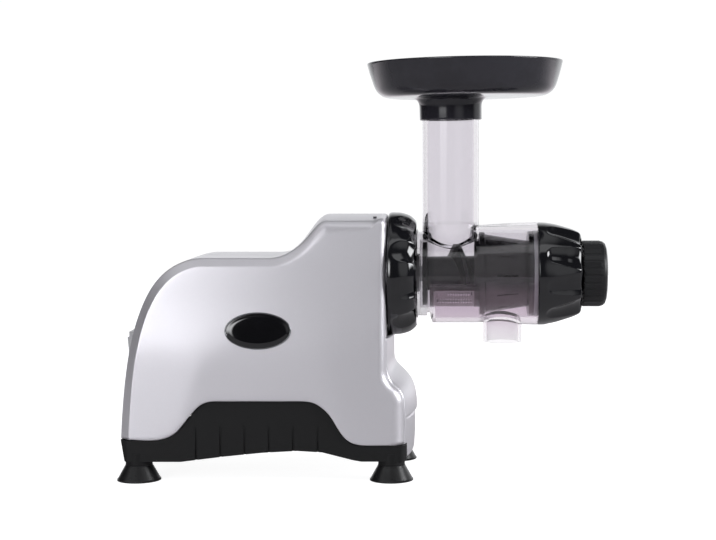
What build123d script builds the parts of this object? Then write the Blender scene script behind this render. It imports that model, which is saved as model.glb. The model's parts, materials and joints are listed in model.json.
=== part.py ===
from build123d import *
import math
import os

# Horizontal single-auger cold press juicer, millimetres.
# X runs along the auger, from the switch at the rear (-X) to the pressure knob (+X).
# Y is across the machine, Z is up from the surface it stands on.
# The origin is on that surface, under the middle of the machine's bounding box.

# ---------------------------------------------------------------- driving sizes
AX_Z = 161.5            # height of the auger axis
MOD1, Z_PIN1, Z_GEAR1 = 1.0, 12, 54      # motor pinion and intermediate gear
MOD2, Z_PIN2, Z_GEAR2 = 1.25, 13, 58     # intermediate pinion and output gear
PRESSURE_ANGLE = 25.0
BACKLASH = 0.09         # tooth thinning on each flank, in modules
C1 = MOD1 * (Z_PIN1 + Z_GEAR1) / 2 + 0.05
C2 = MOD2 * (Z_PIN2 + Z_GEAR2) / 2 + 0.05
INT_Z = AX_Z - C2       # height of the intermediate shaft
MOT_Z = INT_Z - C1      # height of the motor shaft

SIDE_LOW, SIDE_TOP = 57.0, 48.0          # half widths of the body at Z 20 and Z 210
WALL = 3.0
TOP_LOW, TOP_HIGH = 177.0, 210.5         # tops of the motor hump and of the gear hump
FRONT_X = 18.0                           # front plane of the side shells
COVER_X, COVER_HW = 22.0, 38.0           # front cover: plane and half width
RING_X0, RING_X1 = 17.4, 41.7            # locking ring
TUBE_X, TUBE_RO, TUBE_RI = 69.2, 23.0, 19.0
TUBE_TOP = 302.5
TUBE_WELD = 203.0         # the feed chute is welded to the drum's neck at this height
TRAY_TILT = 1.1           # the tray sits loosely on the tube and leans back a little
TRAY_X, TRAY_R, TRAY_Z = 81.7, 79.5, 333.3
FOOT_X, FOOT_Y, FOOT_R = (-179.0, 22.3), 46.0, 17.3
SPOUT_X, SPOUT_RO, SPOUT_RI, SPOUT_Z = 111.6, 15.8, 13.0, 105.8
REAR_FOOT_X = -192.6     # rear face of the base at its top
KNOB_X1 = 196.3
CAP_X0, CAP_X1 = 140.0, 175.6

AXIS_AUGER = Axis((0, 0, AX_Z), (1, 0, 0))
OUT = "parts"
os.makedirs(OUT, exist_ok=True)
parts = {}


def one(shape):
    """A plain compound or solid from any boolean result."""
    solids = shape.solids()
    return solids[0] if len(solids) == 1 else Compound(children=list(solids))


def add(name, *shapes):
    solids = [s for shape in shapes for s in shape.solids()]
    parts[name] = solids[0] if len(solids) == 1 else Compound(solids)


def xz_face(pts):
    """Face from (x, z) points in the plane Y = 0."""
    return make_face(Plane.XZ * Polyline(*pts, close=True))


def slab(face, half):
    """Extrudes a face of the plane Y = 0 by half to both sides."""
    return extrude(face, half, both=True)


def rev(pts, axis_z=AX_Z, centre_y=0.0):
    """Revolves (x, r) points about the line Z = axis_z, Y = centre_y."""
    face = make_face(Plane.XZ * Polyline(*[(x, r) for x, r in pts], close=True))
    solid = revolve(face, Axis.X, 360)
    return Pos(0, centre_y, axis_z) * solid


def rev_z(pts, x, y):
    """Revolves (r, z) points about the vertical line through x, y."""
    face = make_face(Plane.XZ * Polyline(*pts, close=True))
    return Pos(x, y, 0) * revolve(face, Axis.Z, 360)


def cyl_x(x0, x1, r, z=AX_Z, y=0.0):
    return Pos((x0 + x1) / 2, y, z) * Rot(0, 90, 0) * Cylinder(r, x1 - x0)


def cyl_z(x, y, z0, z1, r):
    return Pos(x, y, (z0 + z1) / 2) * Cylinder(r, z1 - z0)


def cyl_y(x, y0, y1, z, r):
    return Pos(x, (y0 + y1) / 2, z) * Rot(90, 0, 0) * Cylinder(r, y1 - y0)


def tube_x(x0, x1, ro, ri, z=AX_Z, y=0.0):
    return cyl_x(x0, x1, ro, z, y) - cyl_x(x0 - 1, x1 + 1, ri, z, y)


def block(x0, x1, y0, y1, z0, z1):
    return Pos((x0 + x1) / 2, (y0 + y1) / 2, (z0 + z1) / 2) * Box(x1 - x0, y1 - y0, z1 - z0)


def hex_x(x0, x1, flats, z=AX_Z, y=0.0):
    """Hexagonal prism along X with the stated size across flats."""
    r = flats / math.sqrt(3)
    pts = [(r * math.cos(math.radians(60 * i)), r * math.sin(math.radians(60 * i))) for i in range(6)]
    return Pos(x0, y, z) * extrude(make_face(Plane.YZ * Polyline(*pts, close=True)), x1 - x0)


def screw_x(x_head, length, y, z, r=1.6, head=3.0, towards=1):
    """Pan-head screw along X. The head sits at x_head and the shank runs towards +X or -X."""
    a, b = (x_head, x_head + length) if towards > 0 else (x_head - length, x_head)
    h0, h1 = (x_head - 2.0, x_head) if towards > 0 else (x_head, x_head + 2.0)
    body = cyl_x(a, b, r, z, y) + cyl_x(h0, h1, head, z, y)
    slot = block(h0 + (0 if towards > 0 else 1.0), h1 - (1.0 if towards > 0 else 0), y - 2.2, y + 2.2, z - 0.4, z + 0.4)
    return body - slot


def screw_z(x, y, z_head, length, r=1.6, head=3.0):
    """Pan-head screw driven upwards, its head below z_head."""
    body = cyl_z(x, y, z_head, z_head + length, r) + cyl_z(x, y, z_head - 2.0, z_head, head)
    return body - block(x - 2.2, x + 2.2, y - 0.4, y + 0.4, z_head - 2.1, z_head - 1.0)


# ---------------------------------------------------------------- body master
def side_half(z, inset=0.0):
    return SIDE_LOW - (z - 20.0) * (SIDE_LOW - SIDE_TOP) / 190.0 - inset


def body_profile(d):
    """Side view of the body, drawn d inside its outer surface."""
    rear = Spline((-194.0 + d, 12 + d), (-193.2 + d, 50), (-188.9 + d, 92), (-178.5 + d, 136 - 0.3 * d),
                  (-161.0 + 0.7 * d, 164.5 - 0.75 * d), (-128.0, TOP_LOW - d), tangents=((0, 1), (1, 0)))
    top = Line((-128.0, TOP_LOW - d), (-76.0 + 0.4 * d, TOP_LOW - d))
    rise = Spline((-76.0 + 0.4 * d, TOP_LOW - d), (-60.5 + 0.4 * d, 180.6 - 0.9 * d), (-48.3 + 0.75 * d, 190.4 - 0.65 * d),
                  (-39.0 + 0.75 * d, 202.3 - 0.65 * d), (-26.5 + 0.2 * d, TOP_HIGH - d), tangents=((1, 0), (1, 0)))
    high = Line((-26.5 + 0.2 * d, TOP_HIGH - d), (12.5 - d, TOP_HIGH - d))
    nose = JernArc((12.5 - d, TOP_HIGH - d), (1, 0), 5.5, -90)
    drop = Line(nose @ 1, (FRONT_X - d, 88))
    step = Spline((FRONT_X - d, 88), (24.6 - 0.8 * d, 77.0 - 0.6 * d), (31.4 - 0.8 * d, 68.0 - 0.6 * d), (34.5 - d, 56.0 - d),
                  tangents=((0, -1), (0, -1)))
    low = Line((34.5 - d, 56.0 - d), (34.5 - d, 12 + d))
    floor = Line((34.5 - d, 12 + d), (-194.0 + d, 12 + d))
    return make_face(Plane.XZ * (rear + top + rise + high + nose + drop + step + low + floor))


def body_solid(d, side, edge_r):
    """The whole body, base included, as one solid with tapering sides, d inside the outer surface."""
    solid = slab(body_profile(d), 60)
    for s in (1, -1):
        a = side_half(0, side)
        b = side_half(240, side)
        cutter = make_face(Plane.YZ * Polyline((s * a, 0), (s * b, 240), (s * 120, 240), (s * 120, 0), close=True))
        solid = solid - extrude(cutter, 300, both=True)
    solid = solid.solids()[0]
    if edge_r:
        sides = sorted(solid.faces(), key=lambda f: f.area)[-2:]
        keep = []
        for f in sides:
            for e in f.edges():
                if e.center().Z > 12 + d + 0.5:
                    keep.append(e)
        solid = fillet(keep, edge_r)
        solid = solid.solids()[0]
    return solid


outer = body_solid(0.0, 0.0, 7.0)
inner = body_solid(WALL, WALL, 4.0)

# The line where the silver shells end and the black base begins, seen from the side.
line_pts = [(-230, 33.0), (-152.0, 33.0), (-127.0, 64.1), (-32.8, 64.1), (-11.4, 28.9), (80, 28.9)]
boundary = FilletPolyline(*line_pts, radius=[26.0, 13.0, 21.0, 17.0])


def above(gap):
    wire = boundary + Line((80, 28.9), (80, 260)) + Line((80, 260), (-230, 260)) + Line((-230, 260), (-230, 33.0))
    return Pos(0, 0, gap) * slab(make_face(Plane.XZ * wire), 80)


# Base underside, arched between the feet.
arch = [(-230, 16.0), (-144.0, 16.0), (-110, 20.2), (-80, 23.2), (-52, 24.7), (-32, 23.5), (-8, 17.4), (-1, 16.2), (80, 16.2)]
under = slab(xz_face([(80, -20), (-230, -20)] + arch), 80)

COVER_TOP = 150.0
cover_zone = block(13.0, 60.0, -COVER_HW, COVER_HW, -5, COVER_TOP)

# ---------------------------------------------------------------- side shells
skin = outer - inner
shell = skin & above(0.15)
shell = shell - cover_zone
gland_z, switch_z = 58.0, 99.0
tilt = math.degrees(math.atan((SIDE_LOW - SIDE_TOP) / 190.0))
badge_x, badge_z, badge_a, badge_b = -82.3, 120.0, 26.3, 14.6
badge_at = Pos(badge_x, -side_half(badge_z), badge_z) * Rot(-tilt, 0, 0)


def oval(a, b, y0, y1):
    """Elliptic plate in the badge's own frame, local +Y pointing into the body."""
    plate = extrude(make_face(Plane.XZ * Ellipse(a, b)), (y1 - y0) / 2, both=True)
    return badge_at * Pos(0, (y0 + y1) / 2, 0) * plate


shell = shell - cyl_x(-210, -186, 7.6, gland_z)                                    # cord gland hole on the seam
shell = shell - block(-210, -170, -10.2, 10.2, switch_z - 14.2, switch_z + 14.2)   # switch opening
shell = shell - oval(badge_a + 0.25, badge_b + 0.25, -3.0, 0.6)                    # pocket for the badge
shell = shell - cyl_z(9.0, -30.0, 205.9, 230, 1.7)                                # pocket for the lock mark
shell = shell - cyl_x(0, 60, 42.5) - cyl_x(RING_X0 - 0.3, 60, 51.4)                # hub hole and ring pocket
left = shell & block(-260, 260, -120, -0.05, -20, 300)
right = shell & block(-260, 260, 0.05, 120, -20, 300)


def boss(x, z, y0, y1, r=5.0, hole=1.5):
    return cyl_y(x, y0, y1, z, r) - cyl_y(x, y0 - 1, y1 + 1, z, hole)


# screw posts that join the two shells above the motor and the gearbox
posts_l, posts_r = [], []
for px, pz in ((-168.0, 140.0), (-66.0, 166.0)):
    w = side_half(pz) - 1.5
    posts_l.append(cyl_y(px, -w, -0.05, pz, 4.5) - cyl_y(px, -w + 6, 1, pz, 1.5))
    posts_r.append(cyl_y(px, 0.05, w, pz, 4.5) - cyl_y(px, -1, w - 6, pz, 1.9))
post_xy = [(-122.0, 46.5), (-58.0, 46.5), (-2.0, 46.5)]


def arch_z(x):
    """Height of the base's underside at x."""
    for (xa, za), (xb, zb) in zip(arch, arch[1:]):
        if xa <= x <= xb:
            return za + (zb - za) * (x - xa) / (xb - xa)
    return 16.0


# upright posts the base is screwed to
for px, py in post_xy:
    z0 = arch_z(px) + 4.1
    for s, group in ((-1, posts_l), (1, posts_r)):
        post = cyl_z(px, s * py, z0, 92.0, 4.5) - cyl_z(px, s * py, z0 - 1, z0 + 14, 1.5)
        rib_z = 68.0 if px < -30 else 34.0
        rib = block(px - 1.4, px + 1.4, min(s * 46.5, s * 54.5), max(s * 46.5, s * 54.5), rib_z, 92.0) & outer
        group.append(post + rib)
for b in posts_l:
    left = left + b
for b in posts_r:
    right = right + b
add("housing_left", left)
add("housing_right", right)
add("shell_screws", *[cyl_y(px, -16, 16, pz, 1.4) for px, pz in ((-168.0, 140.0), (-66.0, 166.0))])

# ---------------------------------------------------------------- front cover
cover_out = [(13.4, 149.7), (COVER_X - 0.2, 149.7), (COVER_X, 146.0), (COVER_X, 91.0), (22.9, 87.4), (24.8, 84.6), (28.6, 81.6), (33.4, 77.6),
             (36.6, 73.6), (39.0, 67.6), (40.4, 61.0), (41.3, 54.0), (41.4, 48.6), (39.9, 47.6), (39.8, 46.9), (39.7, 30.0), (38.9, 18.6), (37.4, 16.4)]
cover_in = [(34.8, 16.4), (35.6, 44.0), (37.4, 52.0), (35.6, 61.0), (33.4, 68.0), (30.4, 73.0), (26.0, 76.6), (21.6, 80.4), (19.2, 84.6),
            (18.2, 90.0), (18.2, 100.0), (13.2, 104.0)]
cover_back = [(32.6, 16.4), (30.6, 20.0), (30.2, 44.0), (30.8, 52.0), (28.6, 60.0), (25.6, 66.0), (21.6, 70.6), (17.6, 75.4), (15.0, 81.0), (13.4, 90.0)]
cover = slab(xz_face(cover_out + cover_back), COVER_HW - 0.2)
edges = [e for e in cover.edges() if abs(abs(e.center().Y) - (COVER_HW - 0.2)) < 0.05 and e.center().X > 19.6 and e.center().Z < 150]
for r in (3.0, 2.2, 1.4):
    try:
        cover = fillet(edges, r)
        print("front cover edge radius", r)
        break
    except Exception:
        continue
cover = cover - cyl_x(RING_X0 - 0.3, 60, 51.4)
cover = cover - cyl_x(0, 60, 42.5) - slab(xz_face(cover_in + [(0, 104.0), (0, 16.4)]), COVER_HW - 3.2)
add("front_cover", cover)

# ---------------------------------------------------------------- base
base_outer = body_solid(0.0, 0.8, 6.5)
base = base_outer & block(-260, 260, -80, 80, 12, 70)
base = base - above(-0.15)
base = base - under
floor_in = body_solid(WALL, WALL + 0.8, 0.0)
arch_up = [(x, z + 3.0) for x, z in arch]
floor_cut = slab(xz_face([(80, -20), (-230, -20)] + arch_up), 80)
base = base - (floor_in - floor_cut)
base = base - (cover_zone & block(0, 60, -60, 60, -5, 70)) + block(-4.0, 30.6, -COVER_HW - 4, COVER_HW + 4, 16.2, 19.2)
base = base - block(32.9, 60, -COVER_HW, COVER_HW, 0, 80)
# upright grip grooves along both skirts
for gx in (-131.7, -112.4, -93.3, -74.1, -55.0, -35.5):
    for s in (-1, 1):
        base = base - block(gx - 0.9, gx + 0.9, s * (side_half(34) + 6) - 7.6, s * (side_half(34) + 6) + 7.6, 0, 43.8)
# ventilation slots under the motor
for i in range(9):
    vx = -140 + i * 8.0
    base = base - block(vx - 1.6, vx + 1.6, -24, 24, 0, 40)
# foot bosses
for fx in FOOT_X:
    for fy in (-FOOT_Y, FOOT_Y):
        base = base + (cyl_z(fx, fy, 12.2, 22.0, 10.6))
        base = base - cyl_z(fx, fy, 5, 26, 2.1)
# pads for the motor dampers, the gearbox foot and the terminal block
PAD_Z = 27.5
damper_xy = [(dx, dy) for dx in (-108.0, -76.0) for dy in (-30.0, 30.0)]
for dx, dy in damper_xy:
    base = base + cyl_z(dx, dy, arch_z(dx) + 1.0, PAD_Z, 7.0)
for x0, x1 in ((-46.0, -36.0), (-22.0, -12.0)):
    base = base + block(x0, x1, -14, 14, arch_z(x0) + (1.0 if x0 < -30 else -1.0), 30.3)
base = base + block(-150.0, -134.0, -16, 16, 17.6, 21.0)
screw_xy = [(px, s * py) for px, py in post_xy for s in (-1, 1)]
for sx, sy in screw_xy:
    base = base - cyl_z(sx, sy, 5, 40, 1.8) - cyl_z(sx, sy, 5, arch_z(sx) + 1.9, 3.6)
# rear wall leans in towards its foot, and its corners carry the bevel of the shells above
base = base + block(-192.5, -186.0, -54.5, 54.5, 16.2, 32.7)
base = base - slab(xz_face([(-230, 0), (-230, 34), (REAR_FOOT_X, 34), (REAR_FOOT_X, 33), (REAR_FOOT_X + 3.6, 16.0), (REAR_FOOT_X + 3.6, 0)]), 80)
for s in (-1, 1):
    wedge = make_face(Plane.XY * Polyline((-230, s * 14.2), (-230, s * 120), (-120.5, s * 120), close=True))
    base = base - extrude(wedge, 60)
base = base.solids().sort_by(SortBy.VOLUME)[-1]
add("base_tray", base)
add("base_screws", *[screw_z(sx, sy, arch_z(sx) + 1.9, 14, 1.45, 3.2) for sx, sy in screw_xy])

# ---------------------------------------------------------------- suction feet
feet = []
for fx in FOOT_X:
    for fy in (-FOOT_Y, FOOT_Y):
        cup = rev_z([(0, 12.1), (10.8, 12.1), (11.4, 11.0), (16.6, 1.6), (FOOT_R, 0.9), (FOOT_R, 0.0), (15.2, 0.0), (9.0, 3.6), (0, 4.6)], fx, fy)
        feet.append(cup - cyl_z(fx, fy, 0, 20, 2.1))
add("suction_feet", *feet)
add("foot_screws", *[cyl_z(fx, fy, 6.0, 20.0, 1.9) + cyl_z(fx, fy, 22.0, 25.0, 4.0) + cyl_z(fx, fy, 19.9, 22.1, 1.9)
                     for fx in FOOT_X for fy in (-FOOT_Y, FOOT_Y)])

# ---------------------------------------------------------------- badge, mark
add("badge_rim", oval(badge_a, badge_b, -0.9, 0.55) - oval(badge_a - 1.1, badge_b - 1.1, -2.0, 2.0))
add("badge_plate", oval(badge_a - 1.15, badge_b - 1.15, -0.6, 0.55))
add("lock_mark", cyl_z(9.0, -30.0, 206.0, 208.7, 1.5))

# ---------------------------------------------------------------- switch and mains gland
bz = (block(-192.6, -178.0, -12.0, 12.0, switch_z - 16.0, switch_z + 16.0) - outer) + block(-192.6, -168.0, -10.0, 10.0, switch_z - 14.0, switch_z + 14.0)
bz = bz - block(-200, -184.6, -8.2, 8.2, switch_z - 12.4, switch_z + 12.4)
bz = bz - block(-184.7, -170.0, -8.2, 8.2, switch_z - 9.0, switch_z + 9.0)
bz = bz - cyl_y(-190.2, -9.3, 9.3, switch_z, 1.5)
add("switch_bezel", bz)
ROCKER_X = -190.2
rocker_pts = [(-191.0, switch_z - 12.0), (-195.0, switch_z - 10.8), (-194.0, switch_z), (-195.0, switch_z + 10.8), (-191.0, switch_z + 12.0),
              (-187.6, switch_z + 6.0), (-186.0, switch_z), (-187.6, switch_z - 6.0)]
add("switch_rocker", slab(xz_face(rocker_pts), 7.8) - cyl_y(ROCKER_X, -12, 12, switch_z, 1.55))
add("switch_pivot_pin", cyl_y(ROCKER_X, -9.2, 9.2, switch_z, 1.5))
gland = (cyl_x(-195.6, -190.0, 10.2, gland_z) - outer) + cyl_x(-193.4, -186.0, 7.5, gland_z) + cyl_x(-187.8, -185.0, 9.2, gland_z)
gland = gland - cyl_x(-210, -180, 3.7, gland_z)
add("cord_gland", gland)
add("terminal_block", block(-149, -135, -14, 14, 21, 33) - block(-147.5, -136.5, -12, -4, 29, 34) - block(-147.5, -136.5, 4, 12, 29, 34))
add("run_capacitor", cyl_y(-167.5, -22, 22, 34.2, 15.0) + cyl_y(-167.5, 22, 28, 34.2, 4.0))

# ---------------------------------------------------------------- gears
def involute_gear(module, teeth, x0, x1, centre_z, bore, start_deg):
    """Spur gear along X. start_deg is the direction of one tooth's centre, from +Y towards +Z."""
    pitch = module * teeth / 2
    alpha = math.radians(PRESSURE_ANGLE)
    base_r = pitch * math.cos(alpha)
    tip, root = pitch + module, pitch - 1.28 * module
    half = (math.pi / 2 - 2 * BACKLASH) / teeth
    inv = math.tan(alpha) - alpha
    radii = [max(base_r, root) + (tip - max(base_r, root)) * t for t in (0.0, 0.35, 0.7, 1.0)]
    pts = []
    for i in range(teeth):
        c = math.radians(start_deg) + 2 * math.pi * i / teeth

        def at(r, side):
            a = math.acos(min(1.0, base_r / r))
            w = half + inv - (math.tan(a) - a)
            return (r * math.cos(c + side * w), r * math.sin(c + side * w))
        w0 = half + inv
        if root < base_r:
            pts.append((root * math.cos(c - w0), root * math.sin(c - w0)))
        pts += [at(r, -1) for r in radii]
        pts += [at(r, 1) for r in reversed(radii)]
        if root < base_r:
            pts.append((root * math.cos(c + w0), root * math.sin(c + w0)))
    face = make_face(Plane.YZ * Polyline(*pts, close=True))
    gear = Pos(x0, 0, centre_z) * extrude(face, x1 - x0)
    return gear - cyl_x(x0 - 1, x1 + 1, bore, centre_z)


GX1, GX2 = (-42.5, -32.5), (-27.0, -12.0)
pinion1 = involute_gear(MOD1, Z_PIN1, -44.0, -31.0, MOT_Z, 3.0, 90.0)
gear1 = involute_gear(MOD1, Z_GEAR1, GX1[0], GX1[1], INT_Z, 6.0, -90.0 + 180.0 / Z_GEAR1)
pinion2 = involute_gear(MOD2, Z_PIN2, -29.0, -10.0, INT_Z, 3.0, 90.0)
gear2 = involute_gear(MOD2, Z_GEAR2, GX2[0], GX2[1], AX_Z, 9.0, -90.0 + 180.0 / Z_GEAR2)
for i in range(6):
    a = math.radians(60 * i)
    gear1 = gear1 - cyl_x(-60, -20, 5.0, INT_Z + 16.5 * math.sin(a), 16.5 * math.cos(a))
    gear2 = gear2 - cyl_x(-60, 0, 6.5, AX_Z + 22.5 * math.sin(a), 22.5 * math.cos(a))

# ---------------------------------------------------------------- motor
add("motor_pinion", pinion1)
add("motor_shaft", cyl_x(-147.0, -45.2, 5.0, MOT_Z) + cyl_x(-45.3, -31.0, 2.95, MOT_Z))
rotor = tube_x(-115.5, -68.5, 20.5, 5.0, MOT_Z)
add("motor_rotor", rotor)
stator = cyl_x(-114.0, -70.0, 40.0, MOT_Z) & block(-200, 0, -38.5, 38.5, MOT_Z - 38.5, MOT_Z + 38.5)
stator = stator - cyl_x(-130, -50, 21.0, MOT_Z)
for i in range(12):
    a = math.radians(30 * i + 15)
    stator = stator - cyl_x(-130, -50, 3.4, MOT_Z + 27.5 * math.sin(a), 27.5 * math.cos(a))
add("motor_stator", stator)
wind = []
for x0, x1 in ((-124.0, -114.0), (-70.0, -60.0)):
    wind.append(rev([(x0, 24), (x0, 30.5), (x0 + 2, 32.5), (x1 - 2 if x1 < -100 else x1 - 2, 32.5), (x1, 31), (x1, 23)], MOT_Z))
add("motor_windings", *wind)
for name, a, b, s in (("motor_end_bell_rear", -134.0, -114.0, -1), ("motor_end_bell_front", -70.0, -50.0, 1)):
    wall0, wall1 = (a, a + 4) if s < 0 else (b - 4, b)
    cup = cyl_x(a, b, 38.3, MOT_Z) - cyl_x(a + 4 if s < 0 else a - 1, b + 1 if s < 0 else b - 4, 34.6, MOT_Z)
    hub0, hub1 = (a, a + 9) if s < 0 else (b - 9, b)
    cup = cup + cyl_x(hub0, hub1, 14.0, MOT_Z)
    cup = cup - cyl_x(hub0 + (2.0 if s < 0 else -1), hub1 + (1 if s < 0 else -2.0), 11.0, MOT_Z) - cyl_x(a - 1, b + 1, 6.2, MOT_Z)
    for i in range(8):
        an = math.radians(45 * i + 22.5)
        cup = cup - cyl_x(wall0 - 1, wall1 + 1, 5.0, MOT_Z + 25.0 * math.sin(an), 25.0 * math.cos(an))
    add(name, cup)
add("motor_bearings", tube_x(-132.0, -125.0, 11.0, 5.03, MOT_Z), tube_x(-59.0, -52.0, 11.0, 5.03, MOT_Z))
fan = cyl_x(-144.0, -142.0, 32.0, MOT_Z) + cyl_x(-144.0, -136.5, 9.0, MOT_Z)
for i in range(9):
    blade = Pos(0, 0, MOT_Z) * Rot(40 * i, 0, 0) * block(-142.1, -136.5, -0.9, 0.9, 8.5, 31.5)
    fan = fan + blade
fan = fan - cyl_x(-150, -130, 5.0, MOT_Z)
add("cooling_fan", fan)
bolts = []
for i in range(4):
    a = math.radians(90 * i + 45)
    by, bz_ = 36.3 * math.cos(a), MOT_Z + 36.3 * math.sin(a)
    bolts.append(cyl_x(-137.0, -134.0, 3.0, bz_, by) + cyl_x(-134.2, -113.9, 1.7, bz_, by))
# bolt pockets through the rear bell
bell = parts["motor_end_bell_rear"]
for i in range(4):
    a = math.radians(90 * i + 45)
    by, bz_ = 36.3 * math.cos(a), MOT_Z + 36.3 * math.sin(a)
    bell = bell - cyl_x(-140, -110, 1.75, bz_, by)
bell = bell.solids()[0]
parts["motor_end_bell_rear"] = bell
bolts = [b - cyl_x(-114.0, -100, 4.0, MOT_Z + 36.3 * math.sin(math.radians(90 * i + 45)), 36.3 * math.cos(math.radians(90 * i + 45))) for i, b in enumerate(bolts)]
add("motor_bolts", *bolts)

# cradle under the stator, on four rubber dampers
cr = block(-112.0, -72.0, -32.0, 32.0, 31.0, MOT_Z - 20) - cyl_x(-120, -60, 40.4, MOT_Z)
cr = cr - block(-120, -60, -60, 60, MOT_Z - 38.9, MOT_Z) + block(-112, -72, -34, 34, 31.0, 34.0)
cr = cr + block(-112, -106, -42, -38.9, 31.0, MOT_Z - 10) + block(-112, -106, 38.9, 42, 31.0, MOT_Z - 10) + block(-78, -72, -42, -38.9, 31.0, MOT_Z - 10) + block(-78, -72, 38.9, 42, 31.0, MOT_Z - 10)
cr = cr + block(-112, -72, -42, 42, 31.0, 34.0)
add("motor_cradle", cr)
add("cradle_dampers", *[cyl_z(dx, dy, PAD_Z, 31.0, 5.0) for dx, dy in damper_xy])

# ---------------------------------------------------------------- gearbox
def gearcase(x0, x1, grow, top_x0):
    """Gearbox outline: the output stage's housing starts further forward than the motor stage's."""
    shape = cyl_x(x0, x1, 31.5 + grow, INT_Z) + cyl_x(x0, x1, 22.0 + grow, MOT_Z)
    shape = shape + cyl_x(top_x0, x1, 41.0 + grow, AX_Z)
    return shape


gear_lugs = [(37.5, AX_Z + 17.5), (-37.5, AX_Z + 17.5), (21.5, MOT_Z - 7.5), (-21.5, MOT_Z - 7.5)]
case = gearcase(-50.0, -8.0, 0.0, -31.0)
for sy, sz in gear_lugs:
    case = case + cyl_x(-24.0, -8.0, 4.5, sz, sy)
case = case + block(-46.0, -12.0, -13.0, 13.0, 30.4, 66.0)
case = case - gearcase(-46.0, 0.0, -3.0, -28.0) - (block(-42.5, -15.5, -9.5, 9.5, 34.0, 60.0) - cyl_x(-60, 0, 22.0, MOT_Z))
case = case + (cyl_x(-46.5, -43.2, 9.5, INT_Z)) + (cyl_x(-42.5, -28.4, 15.4, AX_Z))
case = case - cyl_x(-60, -40, 7.0, INT_Z) - cyl_x(-39.5, -20, 13.0, AX_Z) - cyl_x(-60, -20, 8.6, AX_Z) - cyl_x(-60, -40, 7.0, MOT_Z)
for sy, sz in gear_lugs:
    case = case - cyl_x(-22, 10, 1.6, sz, sy)
add("gearbox_case", case)
cov = gearcase(-7.95, -3.0, 0.0, -7.95)
for sy, sz in gear_lugs:
    cov = cov + cyl_x(-7.95, -3.0, 4.5, sz, sy)
cov = cov - cyl_x(-20, 10, 7.0, INT_Z) - cyl_x(-20, 10, 16.0, AX_Z)
hub_screws = [(31 * math.cos(math.radians(a)), AX_Z + 31 * math.sin(math.radians(a))) for a in (45, 135, 225, 315)]
for sy, sz in hub_screws:
    cov = cov - cyl_x(-8, -2, 1.5, sz, sy)
for sy, sz in gear_lugs:
    cov = cov - cyl_x(-20, 10, 1.6, sz, sy)
add("gearbox_cover", cov)
add("gearbox_screws", *[cyl_x(-20.0, -2.99, 1.5, sz, sy) + cyl_x(-3.0, -1.0, 3.0, sz, sy) for sy, sz in gear_lugs])

add("intermediate_gear", gear1)
add("intermediate_pinion", pinion2)
ishaft = cyl_x(-50.0, -43.0, 4.95, INT_Z) + cyl_x(-43.2, -30.9, 6.0, INT_Z) + cyl_x(-31, -8.6, 3.0, INT_Z) + cyl_x(-8.7, -3.3, 4.95, INT_Z)
ishaft = ishaft - (cyl_x(-31.0, -8.7, 10, INT_Z) - cyl_x(-31.0, -8.7, 2.98, INT_Z))
add("intermediate_shaft", ishaft)
add("intermediate_bushes", tube_x(-50.0, -43.6, 7.0, 5.0, INT_Z), tube_x(-8.5, -3.0, 7.0, 5.0, INT_Z))
add("output_gear", gear2)
oshaft = cyl_x(-39.0, -30.6, 6.95, AX_Z) + cyl_x(-30.6, -9.0, 9.0, AX_Z) + cyl_x(-9.0, 12.0, 8.95, AX_Z)
add("output_shaft", oshaft)
add("output_bearings", tube_x(-38.5, -31.0, 13.0, 7.0, AX_Z), tube_x(-9.0, -3.0, 16.0, 9.0, AX_Z))

# ---------------------------------------------------------------- drum hub on the gearbox
hub = cyl_x(-2.9, 3.0, 40.0) + tube_x(2.9, 26.0, 42.0, 36.6) + tube_x(25.9, 34.0, 42.0, 33.3)
hub = hub + tube_x(9.0, 12.8, 44.0, 41.9) - cyl_x(-5, 5, 12.0)
for sy, sz in hub_screws:
    hub = hub - cyl_x(-5, 5, 1.8, sz, sy)
for sy, sz in gear_lugs:
    hub = hub - cyl_x(-5, -0.3, 4.0, sz, sy)
hub = hub - (cyl_x(-5, -2.5, 7.5, INT_Z))


def sector(x0, x1, r0, r1, centre_deg, half_deg):
    """Piece of a ring on the auger axis. centre_deg runs from +Y towards +Z."""
    a0, a1 = math.radians(centre_deg - half_deg), math.radians(centre_deg + half_deg)
    n = 6
    pts = [(r1 * math.cos(a0 + (a1 - a0) * i / n), r1 * math.sin(a0 + (a1 - a0) * i / n)) for i in range(n + 1)]
    pts += [(r0 * math.cos(a1 + (a0 - a1) * i / n), r0 * math.sin(a1 + (a0 - a1) * i / n)) for i in range(n + 1)]
    return Pos(x0, 0, AX_Z) * extrude(make_face(Plane.YZ * Polyline(*pts, close=True)), x1 - x0)


# outer lugs the locking ring catches behind, inner slots for the drum's lugs
for a in (90, 210, 330):
    hub = hub + sector(27.0, 30.0, 41.5, 43.8, a, 9.0)
for a in (0, 180):
    hub = hub - sector(28.0, 36.0, 30.0, 36.0, a, 9.5)
add("drum_hub", hub)
add("hub_screws", *[cyl_x(-7.9, 3.1, 1.45, sz, sy) + cyl_x(3.0, 5.2, 3.0, sz, sy) for sy, sz in hub_screws])
add("output_seal", tube_x(-2.9, 3.0, 11.95, 9.02))
socket = cyl_x(4.0, 27.0, 12.0) - cyl_x(3.0, 12.1, 8.97) - hex_x(12.0, 30.0, 12.4)
add("drive_socket", socket)

# ---------------------------------------------------------------- locking ring
def scoop(x0, r0, x1, r1, radius, angle):
    """Finger scoop: a round-ended cutter whose axis runs from (x0, r0) to (x1, r1), at an angle from +Y towards +Z."""
    run = math.hypot(x1 - x0, r1 - r0)
    lean = math.degrees(math.atan2(r1 - r0, x1 - x0))
    rod = Pos(run / 2, 0, 0) * Rot(0, 90, 0) * Cylinder(radius, run)
    cutter = Rot(0, -lean, 0) * (rod + Sphere(radius))
    return Pos(0, 0, AX_Z) * Rot(angle - 90, 0, 0) * Pos(x0, 0, r0) * cutter


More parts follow.
